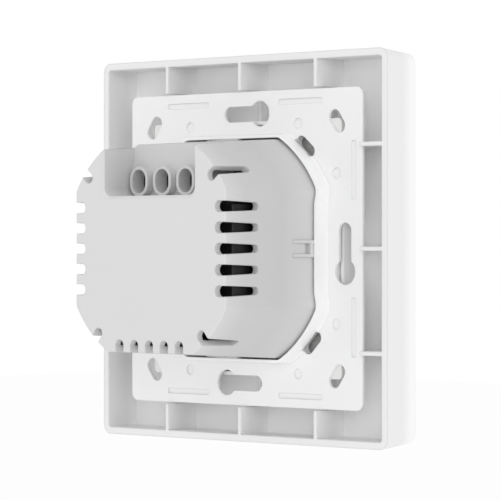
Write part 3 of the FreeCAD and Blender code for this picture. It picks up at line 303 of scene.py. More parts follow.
class MaterialWork(Wiring):
    """A material in the making, with its shader."""

    EDGE_SAMPLES = 8

    def __init__(self, name: str, effects: SurfaceEffects | None = None) -> None:
        """Make a material with only its shader.

        Args:
            name: The material's name.
            effects: The shared node groups, where it takes any.
        """
        self.material = bpy.data.materials.new(name)
        self.material.use_nodes = True
        super().__init__(self.material.node_tree)
        self.effects = effects
        self.shader = self.find("BSDF_PRINCIPLED")

    def effect(self, group: Group, inputs: Inputs) -> Node:
        """Place an effect in the material, with its own values."""
        return self.add("Group", inputs, node_tree=group)

    def link_tone(self, colour: Colour, amount: float, cells: float,
                  painted_shading: tuple[PaintedShadeByDepth, ...] = ()) -> None:
        """Feed the shader's colour from a base colour, a slow drift of tone and any painted shade by
        depth.

        Args:
            colour: The base colour.
            amount: How much the lightness drifts.
            cells: How many drifts there are in a metre.
            painted_shading: The painted shade and painted light that make the colour darker or lighter
                with depth, where it has any.
        """
        tone = self.effect(self.effects.tone_drift, {"Amount": amount, "Cells": cells}).outputs["Factor"]
        # Each step multiplies the colour by painted shade or painted light that depends on depth.
        for painted_step in painted_shading:
            factor = self.effect(self.effects.painted_depth_shade, {
                "From": painted_step.start, "To": painted_step.end, "Near": painted_step.near, "Far": painted_step.far,
                "Level": painted_step.level}).outputs["Factor"]
            tone = self.calculate("MULTIPLY", tone, factor)
        mix = self.add(
            "Mix", {"Factor": 1.0, FIRST_COLOUR: (*colour, 1.0), SECOND_COLOUR: tone},
            data_type="RGBA", blend_type="MULTIPLY")
        self.feed(self.shader, {"Base Color": mix.outputs[COLOUR_RESULT]})

    def link_relief(self, texture: Node, depth: float, edge: float = 0.0,
                    height: Socket | None = None) -> None:
        """Feed the shader's normal and roughness from an effect.

        Args:
            texture: An effect that gives a height and a roughness.
            depth: The relief's depth in metres.
            edge: How far the light runs softly round the edges, where the finish has that.
            height: The height that another effect gives, where that makes the relief.
        """
        if height is None:
            height = texture.outputs["Height"]
        bump = self.add("Bump", {"Distance": depth, "Strength": 1.0, "Height": height})
        if edge > 0.0:
            soft = self.add("Bevel", {"Radius": edge}, samples=self.EDGE_SAMPLES)
            self.feed(bump, {"Normal": soft.outputs["Normal"]})
        self.feed(self.shader, {
            "Normal": bump.outputs["Normal"], "Roughness": texture.outputs["Roughness"]})


@dataclass(frozen=True)
class Finish:
    """What every finish has: a name, and a base colour."""

    name: str
    colour: Colour

    def build(self, effects: SurfaceEffects) -> bpy.types.Material:
        """Make the material.

        Args:
            effects: The shared node groups.

        Returns:
            The finished material.
        """
        work = MaterialWork(self.name, effects)
        self.lay_on(work)
        return work.material

    def lay_on(self, work: MaterialWork) -> None:
        """Set up a material's shader, which each kind of finish does in its own way."""
        raise NotImplementedError


@dataclass(frozen=True)
class TexturedFinish(Finish):
    """A finish with a slow drift of tone and fine pits."""

    roughness: float = 0.5
    grain: Grain = Grain.SATIN
    relief: float = 0.004 * MM
    drift: float = 0.015
    drift_cells: float = 45.0
    edge: float = 0.12 * MM
    # Painted shade and painted light by depth, where the finish has any.
    painted_shading: tuple[PaintedShadeByDepth, ...] = ()

    def lay_on(self, work: MaterialWork) -> None:
        """Give the surface its tone, any painted shade by depth, its texture and its soft edges.

        Args:
            work: The material in the making.
        """
        work.link_tone(self.colour, self.drift, self.drift_cells, self.painted_shading)
        texture = work.effect(
            work.effects.mould_texture, {"Cells": self.grain.value, "Roughness": self.roughness})
        work.link_relief(texture, self.relief, self.edge)


@dataclass(frozen=True)
class MouldedPlastic(TexturedFinish):
    """A moulded plastic finish with a spark-eroded texture."""

    specular: float = 0.4

    def lay_on(self, work: MaterialWork) -> None:
        """Set how strongly the textured plastic mirrors."""
        super().lay_on(work)
        work.feed(work.shader, {"Specular IOR Level": self.specular})


@dataclass(frozen=True)
class CoatedSheet(TexturedFinish):
    """Sheet metal under a smooth opaque coat."""

    roughness: float = 0.32
    grain: Grain = Grain.COATED
    relief: float = 0.003 * MM
    drift: float = 0.01
    drift_cells: float = 30.0
    edge: float = 0.3 * MM
    coat: float = 0.5
    coat_roughness: float = 0.25

    def lay_on(self, work: MaterialWork) -> None:
        """Give the textured coat its gloss."""
        super().lay_on(work)
        work.feed(work.shader, {"Coat Weight": self.coat, "Coat Roughness": self.coat_roughness})


@dataclass(frozen=True)
class BareMetal(Finish):
    """Rolled, stamped or plated metal."""

    roughness: float = 0.35
    relief: float = 0.002 * MM
    drift: float = 0.08
    drift_cells: float = 400.0

    def lay_on(self, work: MaterialWork) -> None:
        """Give the metal its tone and its rolled lines.

        Args:
            work: The material in the making.
        """
        work.link_tone(self.colour, self.drift, self.drift_cells)
        texture = work.effect(work.effects.rolled_lines, {"Roughness": self.roughness})
        work.link_relief(texture, self.relief)
        work.feed(work.shader, {"Metallic": 1.0})


@dataclass(frozen=True)
class MaskedBoard(Finish):
    """A circuit board under solder mask, with its copper showing through faintly."""

    over_copper: Colour
    roughness: float = 0.32
    trace_height: float = 0.03 * MM

    def lay_on(self, work: MaterialWork) -> None:
        """Give the board its mask, with the traces under it.

        Args:
            work: The material in the making.
        """
        traces = work.effect(work.effects.copper_traces, {})
        tone = work.add("Mix", {
            "Factor": traces.outputs["Mask"], FIRST_COLOUR: (*self.colour, 1.0),
            SECOND_COLOUR: (*self.over_copper, 1.0)}, data_type="RGBA")
        work.feed(work.shader, {"Base Color": tone.outputs[COLOUR_RESULT]})
        texture = work.effect(work.effects.mould_texture, {"Roughness": self.roughness})
        work.link_relief(texture, self.trace_height, height=traces.outputs["Height"])


@dataclass(frozen=True)
class ClearPlastic(TexturedFinish):
    """Clear moulded plastic, as in a light guide."""

    roughness: float = 0.18
    grain: Grain = Grain.MATTE
    relief: float = 0.001 * MM
    drift: float = 0.03
    drift_cells: float = 600.0
    edge: float = 0.0
    clearness: float = 0.6
    refraction: float = 1.49

    def lay_on(self, work: MaterialWork) -> None:
        """Let light through the textured plastic."""
        super().lay_on(work)
        work.feed(work.shader, {"Transmission Weight": self.clearness, "IOR": self.refraction})


class Palette:
    """Every finish of the switch, made once and handed out by slot name."""

    FINISHES = (
        # cover_white: painted shade, the cover grows darker from 7.6 mm to 4.5 mm in front of the strap's
        # rear face and stays at 0.89 of its colour behind that.
        MouldedPlastic(
            "cover_white", (0.94, 0.94, 0.94), 0.42, edge=0.5 * MM,
            painted_shading=(PaintedShadeByDepth(-7.6 * MM, -4.5 * MM, 1.0, 0.89),)),
        MouldedPlastic("key_white", (0.9, 0.9, 0.895), 0.38, edge=0.25 * MM),
        MouldedPlastic("tray_white", (0.8, 0.8, 0.79), 0.5, Grain.MATTE),
        # strap_white: painted light, the flat sheet is held at nine tenths of its colour and only the
        # collar, which rises behind it, has the full near-white, so the collar looks more brightly lit
        # though the coat is one white.
        CoatedSheet(
            "strap_white", (0.98, 0.98, 0.985), painted_shading=(PaintedShadeByDepth(0.1 * MM, 0.5 * MM, 0.9, 1.0),)),
        # housing_grey: painted light and painted shade. The side walls are lighter near the strap, as if
        # lit by light thrown back from it, and darker further back, while faces that look straight back
        # keep the full grey. The second step paints shade on everything nearer the strap than 24 mm, the
        # floor of the terminal recess among it, and rises to the full grey at 29 mm.
        MouldedPlastic(
            "housing_grey", (0.7, 0.7, 0.7), 0.55, Grain.MATTE, edge=0.35 * MM,
            painted_shading=(
                PaintedShadeByDepth(4.5 * MM, 13.0 * MM, 1.08, 0.91, 1.0),
                PaintedShadeByDepth(24.0 * MM, 29.0 * MM, 0.91, 1.0))),
        ClearPlastic("light_guide_clear", (0.9, 0.94, 0.97)),
        MaskedBoard("board_green", (0.015, 0.11, 0.04), (0.03, 0.18, 0.07)),
        MaskedBoard("board_black", (0.012, 0.012, 0.013), (0.03, 0.03, 0.032)),
        MaskedBoard("board_white", (0.5, 0.5, 0.49), (0.45, 0.46, 0.45)),
        MouldedPlastic("relay_black", (0.012, 0.012, 0.012), 0.45, Grain.MATTE),
        MouldedPlastic("terminal_dark", (0.03, 0.03, 0.032), 0.5, Grain.MATTE),
        BareMetal("terminal_steel", (0.62, 0.62, 0.62), 0.32),
        BareMetal("contact_copper", (0.72, 0.66, 0.56), 0.38),
        BareMetal("shield_tin", (0.7, 0.7, 0.69), 0.3),
        BareMetal("pin_gold", (0.83, 0.64, 0.28), 0.25),
        MouldedPlastic("connector_black", (0.014, 0.014, 0.014), 0.5, Grain.MATTE),
        MouldedPlastic("tact_black", (0.02, 0.02, 0.02), 0.5, Grain.MATTE),
        MouldedPlastic("plunger_dark", (0.06, 0.06, 0.06), 0.4),
        MouldedPlastic("led_white", (0.85, 0.8, 0.6), 0.25),
        MouldedPlastic("ferrite_grey", (0.05, 0.05, 0.053), 0.6, Grain.COATED),
        MouldedPlastic("bobbin_black", (0.02, 0.02, 0.02), 0.5, Grain.MATTE),
        MouldedPlastic("winding_tape", (0.7, 0.5, 0.05), 0.3),
        MouldedPlastic("capacitor_sleeve", (0.015, 0.02, 0.05), 0.25),
        MouldedPlastic("capacitor_box", (0.62, 0.48, 0.06), 0.45, Grain.MATTE),
        MouldedPlastic("varistor_blue", (0.02, 0.09, 0.3), 0.3, Grain.COATED),
        MouldedPlastic("fuse_green", (0.08, 0.2, 0.12), 0.5, Grain.MATTE),
    )

    def __init__(self, effects: SurfaceEffects) -> None:
        """Build every material from the shared effects."""
        self.materials = {finish.name: finish.build(effects) for finish in self.FINISHES}

    def dress(self, piece: bpy.types.Object, slot: str) -> None:
        """Give a piece one finish, in place of what it has."""
        piece.data.materials.clear()
        piece.data.materials.append(self.materials[slot])


@dataclass(frozen=True)
class EdgeRounding:
    """A small rounding that a moulded or pressed edge has."""

    width: float
    segments: int = 1
    angle: float = math.radians(32.0)

    def apply(self, piece: bpy.types.Object) -> None:
        """Round the piece's sharp edges with a bevel.

        Args:
            piece: The object to round.
        """
        rounding = piece.modifiers.new("edge_rounding", "BEVEL")
        rounding.width = self.width
        rounding.segments = self.segments
        rounding.limit_method = "ANGLE"
        rounding.angle_limit = self.angle
        rounding.miter_outer = "MITER_ARC"


@dataclass
class Studio:
    """The pale floor, the soft light and the camera."""

    floor_drop: float = 0.16
    floor_half: float = 3.0
    floor_colour: Colour = (0.92, 0.92, 0.92)
    floor_roughness: float = 0.9
    floor_glow: float = 0.94
    floor_fill: float = 0.85
    dome: float = 0.8
    dome_tilt: Point = (-0.1, -0.03, -0.04)
    lamps: tuple[tuple[str, Point, float], ...] = (
        ("key_lamp", (0.6, 0.95, 1.0), 1.3), ("front_lamp", (-1.05, 1.17, 0.35), 4.5))
    lamp_size: float = 0.9
    camera_place: Point = (-0.43984, 0.4755, 0.0)
    camera_heading: Point = (0.67733, -0.73568, 0.0)
    focal_pixels: float = 2900.1
    photo_pixels: float = 500.0
    sensor: float = 36.0
    centre_offset_pixels: float = 1.3
    nearest: float = 0.01
    furthest: float = 20.0

    def build(self) -> None:
        """Make the studio in order."""
        bpy.context.scene.view_settings.view_transform = "Standard"
        self.add_world()
        self.add_floor()
        self.add_lamps()
        self.add_camera()

    @staticmethod
    def seen_share(work: Wiring) -> Socket:
        """Find out what a ray is for.

        Args:
            work: The node tree to work in.

        Returns:
            A socket that is one on camera, glossy and transmission rays.
        """
        path = work.add("LightPath")
        seen = path.outputs["Is Camera Ray"]
        for name in ("Is Glossy Ray", "Is Transmission Ray"):
            seen = work.calculate("MAXIMUM", seen, path.outputs[name])
        return seen

    def add_world(self) -> None:
        """Light the object evenly and show plain white behind it."""
        world = bpy.data.worlds.new("studio")
        bpy.context.scene.world = world
        world.use_nodes = True
        work = Wiring(world.node_tree)
        direction = work.add("TexCoord").outputs["Generated"]
        along = work.add("VectorMath", {0: direction, 1: self.dome_tilt}, operation="DOT_PRODUCT")
        strength = work.calculate("ADD", along.outputs["Value"], self.dome)
        light = work.feed(work.find("BACKGROUND"), {"Color": WHITE, "Strength": strength})
        white = work.add("Background", {"Color": WHITE, "Strength": 1.0})
        mix = work.add("MixShader", {
            "Fac": self.seen_share(work), 1: light.outputs["Background"], 2: white.outputs["Background"]})
        work.feed(work.find("OUTPUT_WORLD"), {"Surface": mix.outputs["Shader"]})

    def add_floor(self) -> None:
        """Make a wide pale floor under the object."""
        mesh = bpy.data.meshes.new("studio_floor")
        half = self.floor_half
        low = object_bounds()[0].z - self.floor_drop
        corners = [(-half, -half, low), (half, -half, low), (half, half, low), (-half, half, low)]
        mesh.from_pydata(corners, [], [(0, 1, 2, 3)])
        floor = bpy.data.objects.new("studio_floor", mesh)
        bpy.context.scene.collection.objects.link(floor)
        work = MaterialWork("studio_floor")
        colour = (*self.floor_colour, 1.0)
        work.feed(work.shader, {"Base Color": colour, "Roughness": self.floor_roughness})
        glow = work.add("Emission", {"Strength": 1.0})
        share = work.calculate(
            "MULTIPLY_ADD", self.seen_share(work), self.floor_glow - self.floor_fill, self.floor_fill)
        mix = work.add("MixShader", {
            "Fac": share, 1: work.shader.outputs["BSDF"], 2: glow.outputs["Emission"]})
        work.feed(work.find("OUTPUT_MATERIAL"), {"Surface": mix.outputs["Shader"]})
        mesh.materials.append(work.material)
        floor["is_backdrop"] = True

    def add_lamps(self) -> None:
        """Add two wide soft lamps, one above the object's left side and one behind the camera."""
        for name, place, energy in self.lamps:
            data = bpy.data.lights.new(name, "AREA")
            data.shape = "DISK"
            data.size = self.lamp_size
            data.energy = energy
            lamp = bpy.data.objects.new(name, data)
            bpy.context.scene.collection.objects.link(lamp)
            lamp.location = place
            lamp.rotation_mode = "QUATERNION"
            lamp.rotation_quaternion = (-lamp.location).to_track_quat("-Z", "Y")

    def add_camera(self) -> None:
        """Stand the camera where the photograph was taken from."""
        data = bpy.data.cameras.new("camera")
        data.sensor_width = self.sensor
        data.lens = self.sensor * self.focal_pixels / self.photo_pixels
        data.shift_y = -self.centre_offset_pixels / self.photo_pixels
        data.clip_start = self.nearest
        data.clip_end = self.furthest
        camera = bpy.data.objects.new("camera", data)
        bpy.context.scene.collection.objects.link(camera)
        camera.location = self.camera_place
        camera.rotation_mode = "QUATERNION"
        camera.rotation_quaternion = Vector(self.camera_heading).to_track_quat("-Z", "Y")
        bpy.context.scene.camera = camera


def directions(count: int) -> list[Place]:
    """Return the cosine and sine of angles spaced evenly round a circle."""
    angles = [2.0 * math.pi * index / count for index in range(count)]
    return [(math.cos(angle), math.sin(angle)) for angle in angles]


class MeshShaper:
    """Builds one mesh from drawn-out, turned and bent shapes, all square to the wall.

    Outlines and places are given as x and z, and depths as y.
    """

    PLATE_FACES = 32
    WIRE_FACES = 6

    def __init__(self) -> None:
        """Start with an empty mesh."""
        self.work = bmesh.new()

    def join_rings(self, first: Ring, second: Ring) -> None:
        """Join two closed rings of corners with a band of faces.

        Args:
            first: One ring's corners, in order.
            second: The other ring's corners, in the same order.
        """
        count = len(first)
        for index in range(count):
            following = (index + 1) % count
            self.work.faces.new((first[following], first[index], second[index], second[following]))

    def join_all(self, rings: list[Ring], closed: bool = False) -> None:
        """Join rings into a tube.

        Args:
            rings: The rings, in order.
            closed: Whether the last ring joins the first, in place of two end faces.
        """
        for first, second in zip(rings, rings[1:]):
            self.join_rings(first, second)
        if closed:
            self.join_rings(rings[-1], rings[0])
        else:
            self.work.faces.new(rings[0])
            self.work.faces.new(list(reversed(rings[-1])))

    def add_prism(self, outline: Outline, start: float, end: float) -> None:
        """Add an outline drawn out along the depth.

        Args:
            outline: Corner places, in order round the outline.
            start: Depth of one end face.
            end: Depth of the other.
        """
        self.join_all([
            [self.work.verts.new((x, depth, z)) for x, z in outline] for depth in (start, end)])

    def add_turned(self, centre: Place, profile: Outline, closed: bool = False,
                   segments: int = 28) -> None:
        """Add a profile turned about an axis along the depth.

        Args:
            centre: The axis's x and z.
            profile: Radius and depth of each point, in order.
            closed: Whether the profile's last point joins its first.
            segments: How many faces go round.
        """
        x, z = centre
        self.join_all([
            [self.work.verts.new((x + radius * along, depth, z + radius * across))
             for along, across in directions(segments)]
            for radius, depth in profile], closed)

    def add_plate(self, centre: Place, half: float, hole: float, start: float, end: float) -> None:
        """Add a square plate with a round hole in its middle.

        Args:
            centre: The plate's middle, as x and z.
            half: Half the plate's side.
            hole: The hole's radius.
            start: Depth of one face.
            end: Depth of the other.
        """
        x, z = centre
        loops = []
        for depth in (start, end):
            rim, bore = [], []
            for along, across in directions(self.PLATE_FACES):
                stretch = half / max(abs(along), abs(across))
                rim.append(self.work.verts.new((x + stretch * along, depth, z + stretch * across)))
                bore.append(self.work.verts.new((x + hole * along, depth, z + hole * across)))
            loops.append((rim, bore))
        (near_rim, near_bore), (far_rim, far_bore) = loops
        self.join_all([near_rim, far_rim, far_bore, near_bore], closed=True)

    def add_wire(self, path: list[Vector], radius: float) -> None:
        """Add a round wire along a path of straight runs.

        Args:
            path: The wire's centre line.
            radius: Half the wire's thickness.
        """
        rings = []
        for before, point, after in zip(path[:1] + path, path, path[1:] + path[-1:]):
            turn = (after - before).to_track_quat("Z", "Y").to_matrix()
            rings.append([
                self.work.verts.new(point + turn @ Vector((radius * along, radius * across, 0.0)))
                for along, across in directions(self.WIRE_FACES)])
        self.join_all(rings)

    def finished(self, name: str) -> bpy.types.Mesh:
        """Close the shaper.

        Args:
            name: The mesh's name.

        Returns:
            The mesh with its faces turned outwards.
        """
        bmesh.ops.recalc_face_normals(self.work, faces=self.work.faces)
        mesh = bpy.data.meshes.new(name)
        self.work.to_mesh(mesh)
        self.work.free()
        return mesh


def rectangle(x: float, z: float, width: float, height: float) -> Outline:
    """Return the corners of a rectangle about a middle."""
    corners = ((-0.5, -0.5), (0.5, -0.5), (0.5, 0.5), (-0.5, 0.5))
    return [(x + along * width, z + up * height) for along, up in corners]


def arc_points(centre: Place, radius: float, start: float, end: float, steps: int = 8) -> Outline:
    """Set out points along an arc.

    Args:
        centre: The arc's middle, as x and z.
        radius: The arc's radius.
        start: The first point's angle in degrees.
        end: The last point's angle in degrees.
        steps: How many parts the arc is divided into.

    Returns:
        The points in order.
    """
    x, z = centre
    angles = [math.radians(start + (end - start) * index / steps) for index in range(steps + 1)]
    return [(x + radius * math.cos(angle), z + radius * math.sin(angle)) for angle in angles]


@dataclass
class NodeBox:
    """The box of a part that comes with the frame."""

    low: Vector
    high: Vector

    @classmethod
    def of(cls, node: str) -> "NodeBox":
        """Return the box of a named part."""
        low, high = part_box(node)
        return cls(Vector(low), Vector(high))

    @property
    def middle(self) -> Vector:
        """The box's middle."""
        return (self.low + self.high) / 2.0

    @property
    def centre(self) -> Place:
        """The box's middle, as x and z."""
        return self.middle.x, self.middle.z

    @property
    def size(self) -> Vector:
        """The box's lengths along the three axes."""
        return self.high - self.low


def slot_names() -> dict[str, str]:
    """Return the record's material slot of each part."""
    return {row["node"]: row["material_slot"] for row in frame["record"]["subparts"]}


@dataclass
class Workshop:
    """What every sub-assembly needs: the finishes, and a way to dress and to add pieces."""

    palette: Palette
    slots: dict[str, str] = field(default_factory=slot_names)

    def dress(self, *nodes: str, rounding: EdgeRounding | None = None) -> None:
        """Dress parts whose shapes come with the frame.

        Args:
            nodes: The parts' names.
            rounding: The rounding of their edges, where they have one.
        """
        for node in nodes:
            piece = frame["nodes"][node]
            self.palette.dress(piece, self.slots[node])
            if rounding is not None:
                rounding.apply(piece)
            LOG.info("%s dressed in %s", node, self.slots[node])

    def add(self, name: str, shaper: MeshShaper, slot: str, body: str,
            rounding: EdgeRounding | None = None, smooth: bool = False) -> None:
        """Stand a new piece on a body.

        Args:
            name: The piece's name.
            shaper: The mesh shaper that holds its shape.
            slot: The finish's slot name.
            body: The body it moves with.
            rounding: The rounding of its edges, where it has one.
            smooth: Whether its faces are shaded as one round surface.
        """
        mesh = shaper.finished(name)
        for polygon in mesh.polygons:
            polygon.use_smooth = smooth
        piece = bpy.data.objects.new(name, mesh)
        bpy.context.scene.collection.objects.link(piece)
        self.palette.dress(piece, slot)
        if rounding is not None:
            rounding.apply(piece)
        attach(piece, body)
        LOG.info("%s added to %s in %s", name, body, slot)


BODY = "switch_body"


@dataclass
class CoverFrame:
    """The square white frame with its stiffening ribs."""

    shop: Workshop
    rounding: EdgeRounding = EdgeRounding(0.18 * MM, 2)

    def build(self) -> None:
        """Dress the frame."""
        self.shop.dress("outer_frame", rounding=self.rounding)


@dataclass
class MountingStrap:
    """The coated steel strap with its drawn collar, keyholes and slots."""

    shop: Workshop

    def build(self) -> None:
        """Dress the strap."""
        self.shop.dress("mounting_strap")


@dataclass
class RearHousing:
    """The grey housing with its vents, and the white tray that closes it."""

    shop: Workshop
    rounding: EdgeRounding = EdgeRounding(0.16 * MM, 2)

    def build(self) -> None:
        """Dress the housing and the tray."""
        self.shop.dress("rear_housing", rounding=self.rounding)
        self.shop.dress("front_tray")


@dataclass
class TerminalSet:
    """The four screw terminals behind the wire holes."""

    shop: Workshop
    poles: int = 4

    def build(self) -> None:
        """Dress the block, its contacts, the cages and the screws."""
        self.shop.dress("terminal_block", "terminal_contacts")
        for number in range(1, self.poles + 1):
            self.shop.dress(f"terminal_cage_{number}", f"terminal_screw_{number}")


@dataclass
class FrontKeys:
    """The three keys, their light guides and the sign let into each."""

    shop: Workshop
    triangle_side: float = 5.0 * MM
    square_side: float = 3.8 * MM
    sign_depth: float = 0.3 * MM
    sign_drop: float = 0.05 * MM
    sign_gap: float = 0.03 * MM
    sign_rounding: EdgeRounding = EdgeRounding(0.03 * MM, 2)

    def build(self) -> None:
        """Dress the carrier and the keys, and let the signs in."""
        self.shop.dress("key_carrier")
        for sign in KeySign:
            self.shop.dress(f"key_{sign.value}", f"light_guide_{sign.value}")
            self.add_sign(sign)

    def sign_outline(self, sign: KeySign, centre_z: float) -> Outline:
        """Set out a sign's outline, a little inside the recess it fills.

        Args:
            sign: Which key's sign it is.
            centre_z: The height of the key's middle.

        Returns:
            The corners as x and z.
        """
        if sign is KeySign.STOP:
            side = self.square_side - 2.0 * self.sign_gap
            return rectangle(0.0, centre_z, side, side)
        upward = 1.0 if sign is KeySign.UP else -1.0
        height = self.triangle_side * math.sqrt(0.75)
        heart = (0.0, centre_z - upward * height / 6.0)
        reach = 2.0 * height / 3.0 - 2.0 * self.sign_gap
        turn = 90.0 * upward
        return arc_points(heart, reach, turn, turn + 240.0, 2)

    def add_sign(self, sign: KeySign) -> None:
        """Let one sign into its key.

        Args:
            sign: Which key's sign it is.
        """
        body = f"key_{sign.value}"
        key = NodeBox.of(body)
        front = key.low.y
        outline = self.sign_outline(sign, key.middle.z)
        shaper = MeshShaper()
        shaper.add_prism(outline, front + self.sign_drop, front + self.sign_depth)
        self.shop.add(f"key_sign_{sign.value}", shaper, "plunger_dark", body, self.sign_rounding)


@dataclass
class ControlElectronics:
    """The board behind the keys, with its switches, lights, radio module and small parts."""

    shop: Workshop
    cover_half: float = 2.7 * MM
    cover_sheet: float = 0.15 * MM
    cover_hole: float = 1.78 * MM
    cover_rounding: EdgeRounding = EdgeRounding(0.03 * MM)
    rivet_radius: float = 0.3 * MM
    rivet_place: float = 2.2 * MM
    rivet_head: tuple[Place, ...] = ((1.0, 0.0), (0.9, 0.06 * MM), (0.5, 0.1 * MM))
    rivet_faces: int = 12
    chip_side: float = 5.0 * MM
    chip_height: float = 0.9 * MM
    chip_gap: float = 0.08 * MM
    chip_place: Place = (13.5 * MM, -9.0 * MM)
    chip_rounding: EdgeRounding = EdgeRounding(0.1 * MM, 2)
    leg_count: int = 8
    leg_root_share: float = 0.5
    leg_bend_share: float = 0.4
    leg_reach: float = 0.8 * MM
    leg_slope: float = 0.1 * MM
    leg_radius: float = 0.11 * MM
    small_part: Point = (1.6 * MM, 0.8 * MM, 0.5 * MM)
    small_part_cap: float = 0.32 * MM
    core_depth_share: float = 0.94
    core_height_share: float = 0.95
    small_part_columns: tuple[float, ...] = (-8.0 * MM, -5.5 * MM, 5.5 * MM, 8.0 * MM)
    small_part_rise: float = 4.6 * MM
    core_rounding: EdgeRounding = EdgeRounding(0.03 * MM)
    cap_rounding: EdgeRounding = EdgeRounding(0.04 * MM)
    lone_part: Place = (-6.5 * MM, -1.5 * MM)
    low_columns: tuple[float, ...] = (9.0 * MM, 11.0 * MM, 16.5 * MM)
    low_row: float = -14.5 * MM
    antenna_strip: float = 0.5 * MM
    antenna_sheet: float = 0.035 * MM
    antenna_turns: int = 5
    antenna_side_gap: float = 1.5 * MM
    antenna_shield_gap: float = 1.2 * MM
    antenna_end_gap: float = 0.8 * MM

    def build(self) -> None:
        """Dress what comes with the frame, then add the small parts."""
        self.shop.dress(
            "control_board", "indicator_leds", "radio_module", "radio_shield",
            "board_socket", "board_header", "header_pins")
        for sign in KeySign:
            self.shop.dress(f"tact_switch_{sign.value}", f"tact_plunger_{sign.value}")
            self.add_switch_cover(sign)
        self.add_chip()
        self.add_chip_legs()
        self.add_small_parts()
        self.add_antenna()

    def add_switch_cover(self, sign: KeySign) -> None:
        """Put the steel cover and its four rivets on one tact switch.

        Args:
            sign: Which key's switch it is.
        """
        switch = NodeBox.of(f"tact_switch_{sign.value}")
        x, z = switch.centre
        front = switch.low.y - self.cover_sheet
        plate = MeshShaper()
        plate.add_plate(switch.centre, self.cover_half, self.cover_hole, front, switch.low.y)
        self.shop.add(f"tact_cover_{sign.value}", plate, "terminal_steel", BODY, self.cover_rounding)
        rivets = MeshShaper()
        profile = [(self.rivet_radius * share, front - rise) for share, rise in self.rivet_head]
        for side_x in (-1.0, 1.0):
            for side_z in (-1.0, 1.0):
                place = (x + side_x * self.rivet_place, z + side_z * self.rivet_place)
                rivets.add_turned(place, profile, segments=self.rivet_faces)
        self.shop.add(f"tact_rivets_{sign.value}", rivets, "tact_black", BODY, smooth=True)

    def add_chip(self) -> None:
        """Stand the controller chip on the board."""
        front = NodeBox.of("control_board").low.y
        chip = MeshShaper()
        chip.add_prism(
            rectangle(*self.chip_place, self.chip_side, self.chip_side),
            front - self.chip_height, front - self.chip_gap)
        self.shop.add("control_chip", chip, "connector_black", BODY, self.chip_rounding)

    def add_chip_legs(self) -> None:
        """Bend a row of legs from each of the chip's four sides down to the board."""
        front = NodeBox.of("control_board").low.y
        x, z = self.chip_place
        half = self.chip_side / 2.0
        pitch = self.chip_side / (self.leg_count + 1)
        root = front - self.chip_height * self.leg_root_share
        foot = front - self.leg_radius
        bend, tip = half + self.leg_reach * self.leg_bend_share, half + self.leg_reach
        run = [(half, root), (bend, root), (bend + self.leg_slope, foot), (tip, foot)]
        legs = MeshShaper()
        for side in (-1.0, 1.0):
            for index in range(self.leg_count):
                along = -half + (index + 1) * pitch
                for path in (
                        [Vector((x + side * out, y, z + along)) for out, y in run],
                        [Vector((x + along, y, z + side * out)) for out, y in run]):
                    legs.add_wire(path, self.leg_radius)
        self.shop.add("control_chip_legs", legs, "shield_tin", BODY)

    def small_part_places(self) -> list[Place]:
        """Set out the resistors and capacitors on the board's front.

        Returns:
            Their places, as x and z.
        """
        places = []
        for sign in KeySign:
            height = NodeBox.of(f"tact_switch_{sign.value}").middle.z
            places += [(x, height + self.small_part_rise) for x in self.small_part_columns]
            places.append((self.lone_part[0], height + self.lone_part[1]))
        return places + [(x, self.low_row) for x in self.low_columns]

    def add_small_parts(self) -> None:
        """Stand the resistors and capacitors on the board, each with its two soldered end caps."""
        width, depth, height = self.small_part
        base = NodeBox.of("control_board").low.y
        cores, caps = MeshShaper(), MeshShaper()
        inner = width - 2.0 * self.small_part_cap
        for x, z in self.small_part_places():
            cores.add_prism(
                rectangle(x, z, inner, depth * self.core_depth_share),
                base - height * self.core_height_share, base)
            for side in (-1.0, 1.0):
                cap_x = x + side * (inner + self.small_part_cap) / 2.0
                caps.add_prism(rectangle(cap_x, z, self.small_part_cap, depth), base - height, base)
        self.shop.add("control_small_parts", cores, "bobbin_black", BODY, self.core_rounding)
        self.shop.add("control_end_caps", caps, "shield_tin", BODY, self.cap_rounding)

    def add_antenna(self) -> None:
        """Lay the folded antenna strip along the radio module's free end."""
        module = NodeBox.of("radio_module")
        rear = module.high.y
        left, right = module.low.x + self.antenna_side_gap, module.high.x - self.antenna_side_gap
        low = NodeBox.of("radio_shield").high.z + self.antenna_shield_gap
        high = module.high.z - self.antenna_end_gap
        bends = 2 * self.antenna_turns
        step = (right - left) / bends
        strip = self.antenna_strip
        outlines = []
        for index in range(bends + 1):
            x = left + index * step
            outlines.append(rectangle(x, (low + high) / 2.0, strip, high - low))
            if index < bends:
                end = high - strip / 2.0 if index % 2 == 0 else low + strip / 2.0
                outlines.append(rectangle(x + step / 2.0, end, step - strip, strip))
        shaper = MeshShaper()
        for outline in outlines:
            shaper.add_prism(outline, rear, rear + self.antenna_sheet)
        self.shop.add("radio_antenna", shaper, "pin_gold", BODY)


